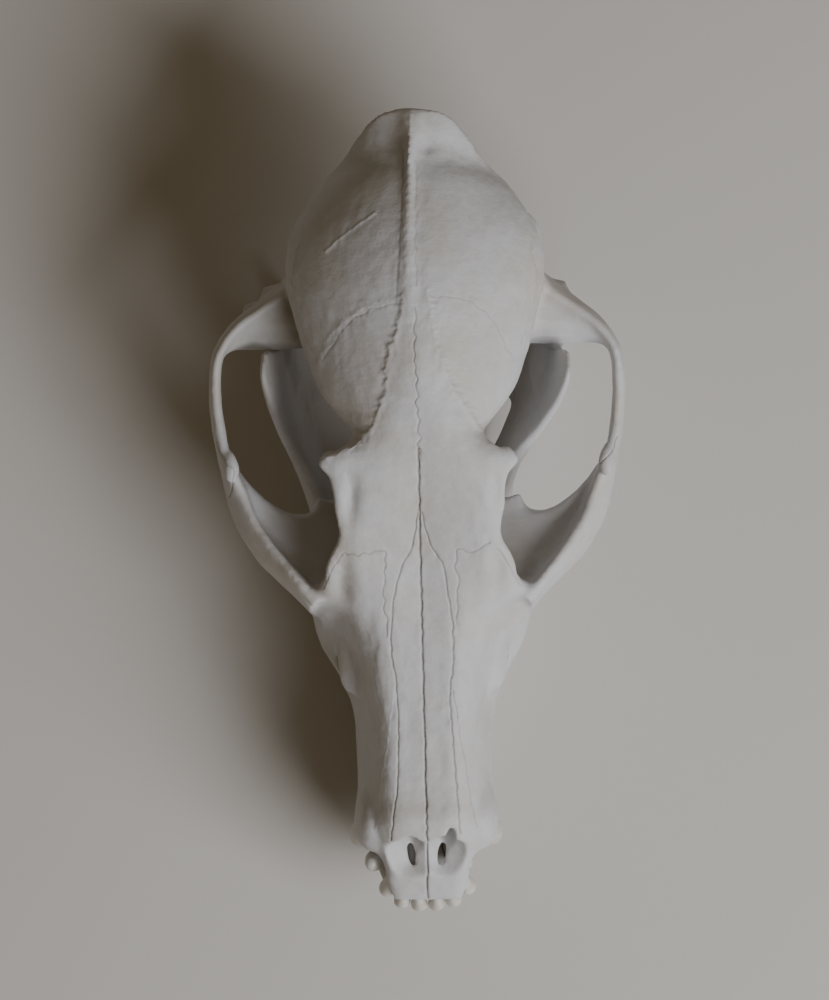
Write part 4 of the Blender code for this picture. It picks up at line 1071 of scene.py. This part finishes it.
def add_node(tree, kind, links=(), **values):
    """A node with its sockets set, and joined from (output, input name) pairs."""
    made = tree.nodes.new(kind)
    for name, value in values.items():
        if hasattr(made, name):
            setattr(made, name, value)
        else:
            made.inputs[name.title()].default_value = value
    for output, name in links:
        tree.links.new(output, made.inputs[name])
    return made


def noise_node(tree, place, scale, detail=4.0, roughness=0.55, stretch=(1, 1, 1)):
    """Noise at a scale, stretched along the axes."""
    mapped = add_node(tree, "ShaderNodeMapping", [(place, "Vector")])
    mapped.inputs["Scale"].default_value = stretch
    settings = {"scale": scale, "detail": detail, "roughness": roughness}
    return add_node(tree, "ShaderNodeTexNoise", [(mapped.outputs[0], "Vector")], **settings)


def ramp(tree, value, low, high):
    """A value spread from 0 at low to 1 at high."""
    made = add_node(tree, "ShaderNodeMapRange", [(value, "Value")])
    made.inputs["From Min"].default_value = low
    made.inputs["From Max"].default_value = high
    return made.outputs[0]


def mix(tree, share, first, second):
    """A colour between two, each a colour or an output; sockets 6 and 7 take the colours."""
    made = tree.nodes.new("ShaderNodeMix")
    made.data_type = "RGBA"
    for socket, value in ((made.inputs[0], share), (made.inputs[6], first), (made.inputs[7], second)):
        if isinstance(value, (tuple, float)):
            socket.default_value = value
        else:
            tree.links.new(value, socket)
    return made.outputs[2]


def scaled(tree, value, factor):
    """A value times a factor."""
    made = add_node(tree, "ShaderNodeMath", [(value, 0)], operation="MULTIPLY")
    made.inputs[1].default_value = factor
    return made.outputs[0]


def attribute(tree, name):
    """One of the marks that the meshes carry."""
    return add_node(tree, "ShaderNodeAttribute", attribute_name=name).outputs["Fac"]


def bone_material():
    """Bleached bone: chalky grey-white, faintly blotched, with fine pores and streaks, dark sutures, and
    brown painted shade in its hollows and the crest's grooves.
    """
    made = bpy.data.materials.new("bleached_bone")
    made.use_nodes = True
    tree = made.node_tree
    shader = tree.nodes["Principled BSDF"]
    place = add_node(tree, "ShaderNodeTexCoord").outputs["Object"]
    blotch = noise_node(tree, place, 60.0).outputs["Fac"]
    mottle = noise_node(tree, place, 380.0, 6.0).outputs["Fac"]
    grain = noise_node(tree, place, 900.0, 5.0, 0.6, (0.25, 1, 1)).outputs["Fac"]
    pores = add_node(tree, "ShaderNodeTexVoronoi", [(place, "Vector")], scale=1100.0)
    tint = mix(tree, ramp(tree, blotch, 0.45, 0.75), colour("cbcbcc"), colour("c3bdb2"))
    tint = mix(tree, scaled(tree, ramp(tree, mottle, 0.50, 0.80), 0.22), tint, colour("a09a90"))
    # Painted shade: the bone turns brown where it lies deep in a hollow, standing in for shade and bounced
    # light.
    hollow_shade = ramp(tree, attribute(tree, "hollow_shade"), 0.60, 0.92)
    tint = mix(tree, scaled(tree, hollow_shade, 0.7), tint, colour("7d6a54"))
    # Dark joints of the sutures, with painted shade in the crest's grooves.
    tint = mix(tree, attribute(tree, "seam_and_groove_shade"), tint, colour("4a3c30"))
    tree.links.new(tint, shader.inputs["Base Color"])
    shader.inputs["Roughness"].default_value = 0.58
    shader.inputs["Subsurface Weight"].default_value = 0.05
    shader.inputs["Subsurface Radius"].default_value = (0.0020, 0.0013, 0.0009)
    shader.inputs["Subsurface Scale"].default_value = 1.0
    pit = ramp(tree, pores.outputs["Distance"], 0.02, 0.28)
    normal = None
    for height, strength, distance in ((mottle, 0.40, 4e-4), (grain, 0.45, 1.5e-4), (pit, 0.15, 1e-4)):
        links = [(height, "Height")] + ([(normal, "Normal")] if normal else [])
        normal = add_node(tree, "ShaderNodeBump", links, strength=strength, distance=distance).outputs[0]
    tree.links.new(normal, shader.inputs["Normal"])
    return made


def enamel_material():
    """Tooth enamel: ivory white, satin, with faint growth bands and a browner neck by the bone."""
    made = bpy.data.materials.new("tooth_enamel")
    made.use_nodes = True
    tree = made.node_tree
    shader = tree.nodes["Principled BSDF"]
    place = add_node(tree, "ShaderNodeTexCoord").outputs["Object"]
    blotch = noise_node(tree, place, 260.0).outputs["Fac"]
    streak = noise_node(tree, place, 900.0, 3.0, 0.5, (1, 1, 0.15)).outputs["Fac"]
    tint = mix(tree, ramp(tree, blotch, 0.4, 0.7), colour("d8d7d3"), colour("cfc8ba"))
    tint = mix(tree, scaled(tree, ramp(tree, streak, 0.5, 0.8), 0.3), tint, colour("a99d88"))
    tint = mix(tree, attribute(tree, "neck"), tint, colour("a39482"))
    tree.links.new(tint, shader.inputs["Base Color"])
    shader.inputs["Roughness"].default_value = 0.34
    shader.inputs["Subsurface Weight"].default_value = 0.08
    shader.inputs["Subsurface Radius"].default_value = (0.0018, 0.0013, 0.0009)
    shader.inputs["Subsurface Scale"].default_value = 1.0
    bump = add_node(tree, "ShaderNodeBump", [(streak, "Height")], strength=0.2, distance=0.0001)
    tree.links.new(bump.outputs[0], shader.inputs["Normal"])
    return made


# Building


def make_tooth(node, points, faces, base, material):
    """A tooth's object, with the tint of its neck."""
    made = mesh_object(f"enamel_{node}", placed(points, base), faces, node, material)
    neck = NECK_TINT * np.exp(-((points[:, 2] / NECK_FADE) ** 2))
    made.data.attributes.new("neck", "FLOAT", "POINT").data.foreach_set("value", neck.astype(np.float32))


def build_cranium(bone, enamel):
    """The cranium with its sockets, and the upper teeth of both sides."""
    teeth = {name: peg(path) for name, path in UPPER_PEGS.items()}
    teeth |= {name: cheek_tooth(row, -1) for name, row in UPPER_CHEEK.items()}
    field = cranium_field()
    for piece in teeth.values():
        room = collar(piece, -1)
        cut(field, room, SOCKET_ROUND)
        cut(field, flipped(room), SOCKET_ROUND)
    # How deep the bone lies in hollows, which sets its painted shade.
    hollow_shade = hollowness(field, HOLLOW_SHADE_CELLS)
    points, quads = surface(field)
    mesh = thinned(points, quads, CRANIUM_TRIANGLES)
    points, seam_and_groove_shade, sunk = carve(mesh, hollow_shade)
    finish_bone("bone_cranium", mesh, points, UPPER_RIM, "cranium", bone, {"seam_and_groove_shade": seam_and_groove_shade, "hollow_shade": sunk})
    for name, (points, faces) in teeth.items():
        make_tooth(f"upper_left_{name}", points, faces, UPPER_RIM, enamel)
        make_tooth(f"upper_right_{name}", across(points), faces, UPPER_RIM, enamel)


def build_jaws(bone, enamel):
    """The two halves of the lower jaw and their teeth, the right half a mirror image of the unbent left."""
    teeth = {name: peg(path) for name, path in LOWER_PEGS.items()}
    teeth |= {name: cheek_tooth(row, 1) for name, row in LOWER_CHEEK.items()}
    field = jaw_field()
    for points, faces in teeth.values():
        room = collar((points, faces), 1)
        cut(field, raised(room, LOWER_RIM), SOCKET_ROUND)
    # How deep the bone lies in hollows, which sets its painted shade.
    hollow_shade = hollowness(field, HOLLOW_SHADE_CELLS)
    points, quads = surface(field)
    mesh = thinned(points, quads, JAW_TRIANGLES)
    for side, shaped in (("left", leaning), ("right", across)):
        half = mesh.copy()
        points, normals = vertices(half)
        rough = np.array([noise.noise((s * 0.4, x * 0.5, z * 0.5)) for s, x, z in points])
        marks = {"seam_and_groove_shade": np.zeros(len(points)), "hollow_shade": sample(hollow_shade, points)}
        points = points + normals * (0.08 * rough)[:, None]
        points[:, 2] = np.maximum(points[:, 2], 0)
        front = points[:, 0] < 36
        points[front, 1] = np.maximum(points[front, 1], 0.2)
        if shaped is across:
            half.flip_normals()
        points = swung(shaped(points))
        finish_bone(f"bone_lower_jaw_{side}", half, points, 0, f"lower_jaw_{side}", bone, marks)
        for name, (points, faces) in teeth.items():
            make_tooth(f"lower_{side}_{name}", swung(shaped(points)), faces, LOWER_RIM, enamel)


def lamp(name, place, aim, size, power, tint):
    """A square soft lamp that faces its aim."""
    light = bpy.data.lights.new(name, "AREA")
    light.size = size
    light.energy = power
    light.color = colour(tint)[:3]
    made = linked(name, light)
    made.location = place
    made.rotation_euler = (Vector(place) - Vector(aim)).to_track_quat("Z", "Y").to_euler()


def stage():
    """The pale floor, the light from the upper right with a weak warm fill, and the camera straight above."""
    mesh = bpy.data.meshes.new("floor")
    mesh.from_pydata([(-3, -3, 0), (3, -3, 0), (3, 3, 0), (-3, 3, 0)], [], [(0, 1, 2, 3)])
    floor = linked("floor", mesh)
    paper = bpy.data.materials.new("floor")
    paper.use_nodes = True
    paper.node_tree.nodes["Principled BSDF"].inputs["Base Color"].default_value = colour("cfccc6")
    paper.node_tree.nodes["Principled BSDF"].inputs["Roughness"].default_value = 0.9
    mesh.materials.append(paper)
    world = bpy.data.worlds.new("studio")
    bpy.context.scene.world = world
    world.use_nodes = True
    world.node_tree.nodes["Background"].inputs["Color"].default_value = colour("dcc59e")
    world.node_tree.nodes["Background"].inputs["Strength"].default_value = 0.15
    lamp("key", place=(0.50, -0.42, 0.60), aim=(0, 0, 0.03), size=0.55, power=7.8, tint="f9faff")
    camera = bpy.data.cameras.new("camera")
    camera.lens = 36.0 * CAMERA_HEIGHT / FRAME_HEIGHT
    camera.clip_end = 20
    made = linked("camera", camera)
    made.location = (*CAMERA_OVER, CAMERA_HEIGHT + 0.045)
    made.rotation_euler = Euler((0, 0, math.radians(CAMERA_ROLL)))
    bpy.context.scene.camera = made


def main():
    bone, enamel = bone_material(), enamel_material()
    stage()
    build_cranium(bone, enamel)
    build_jaws(bone, enamel)


main()
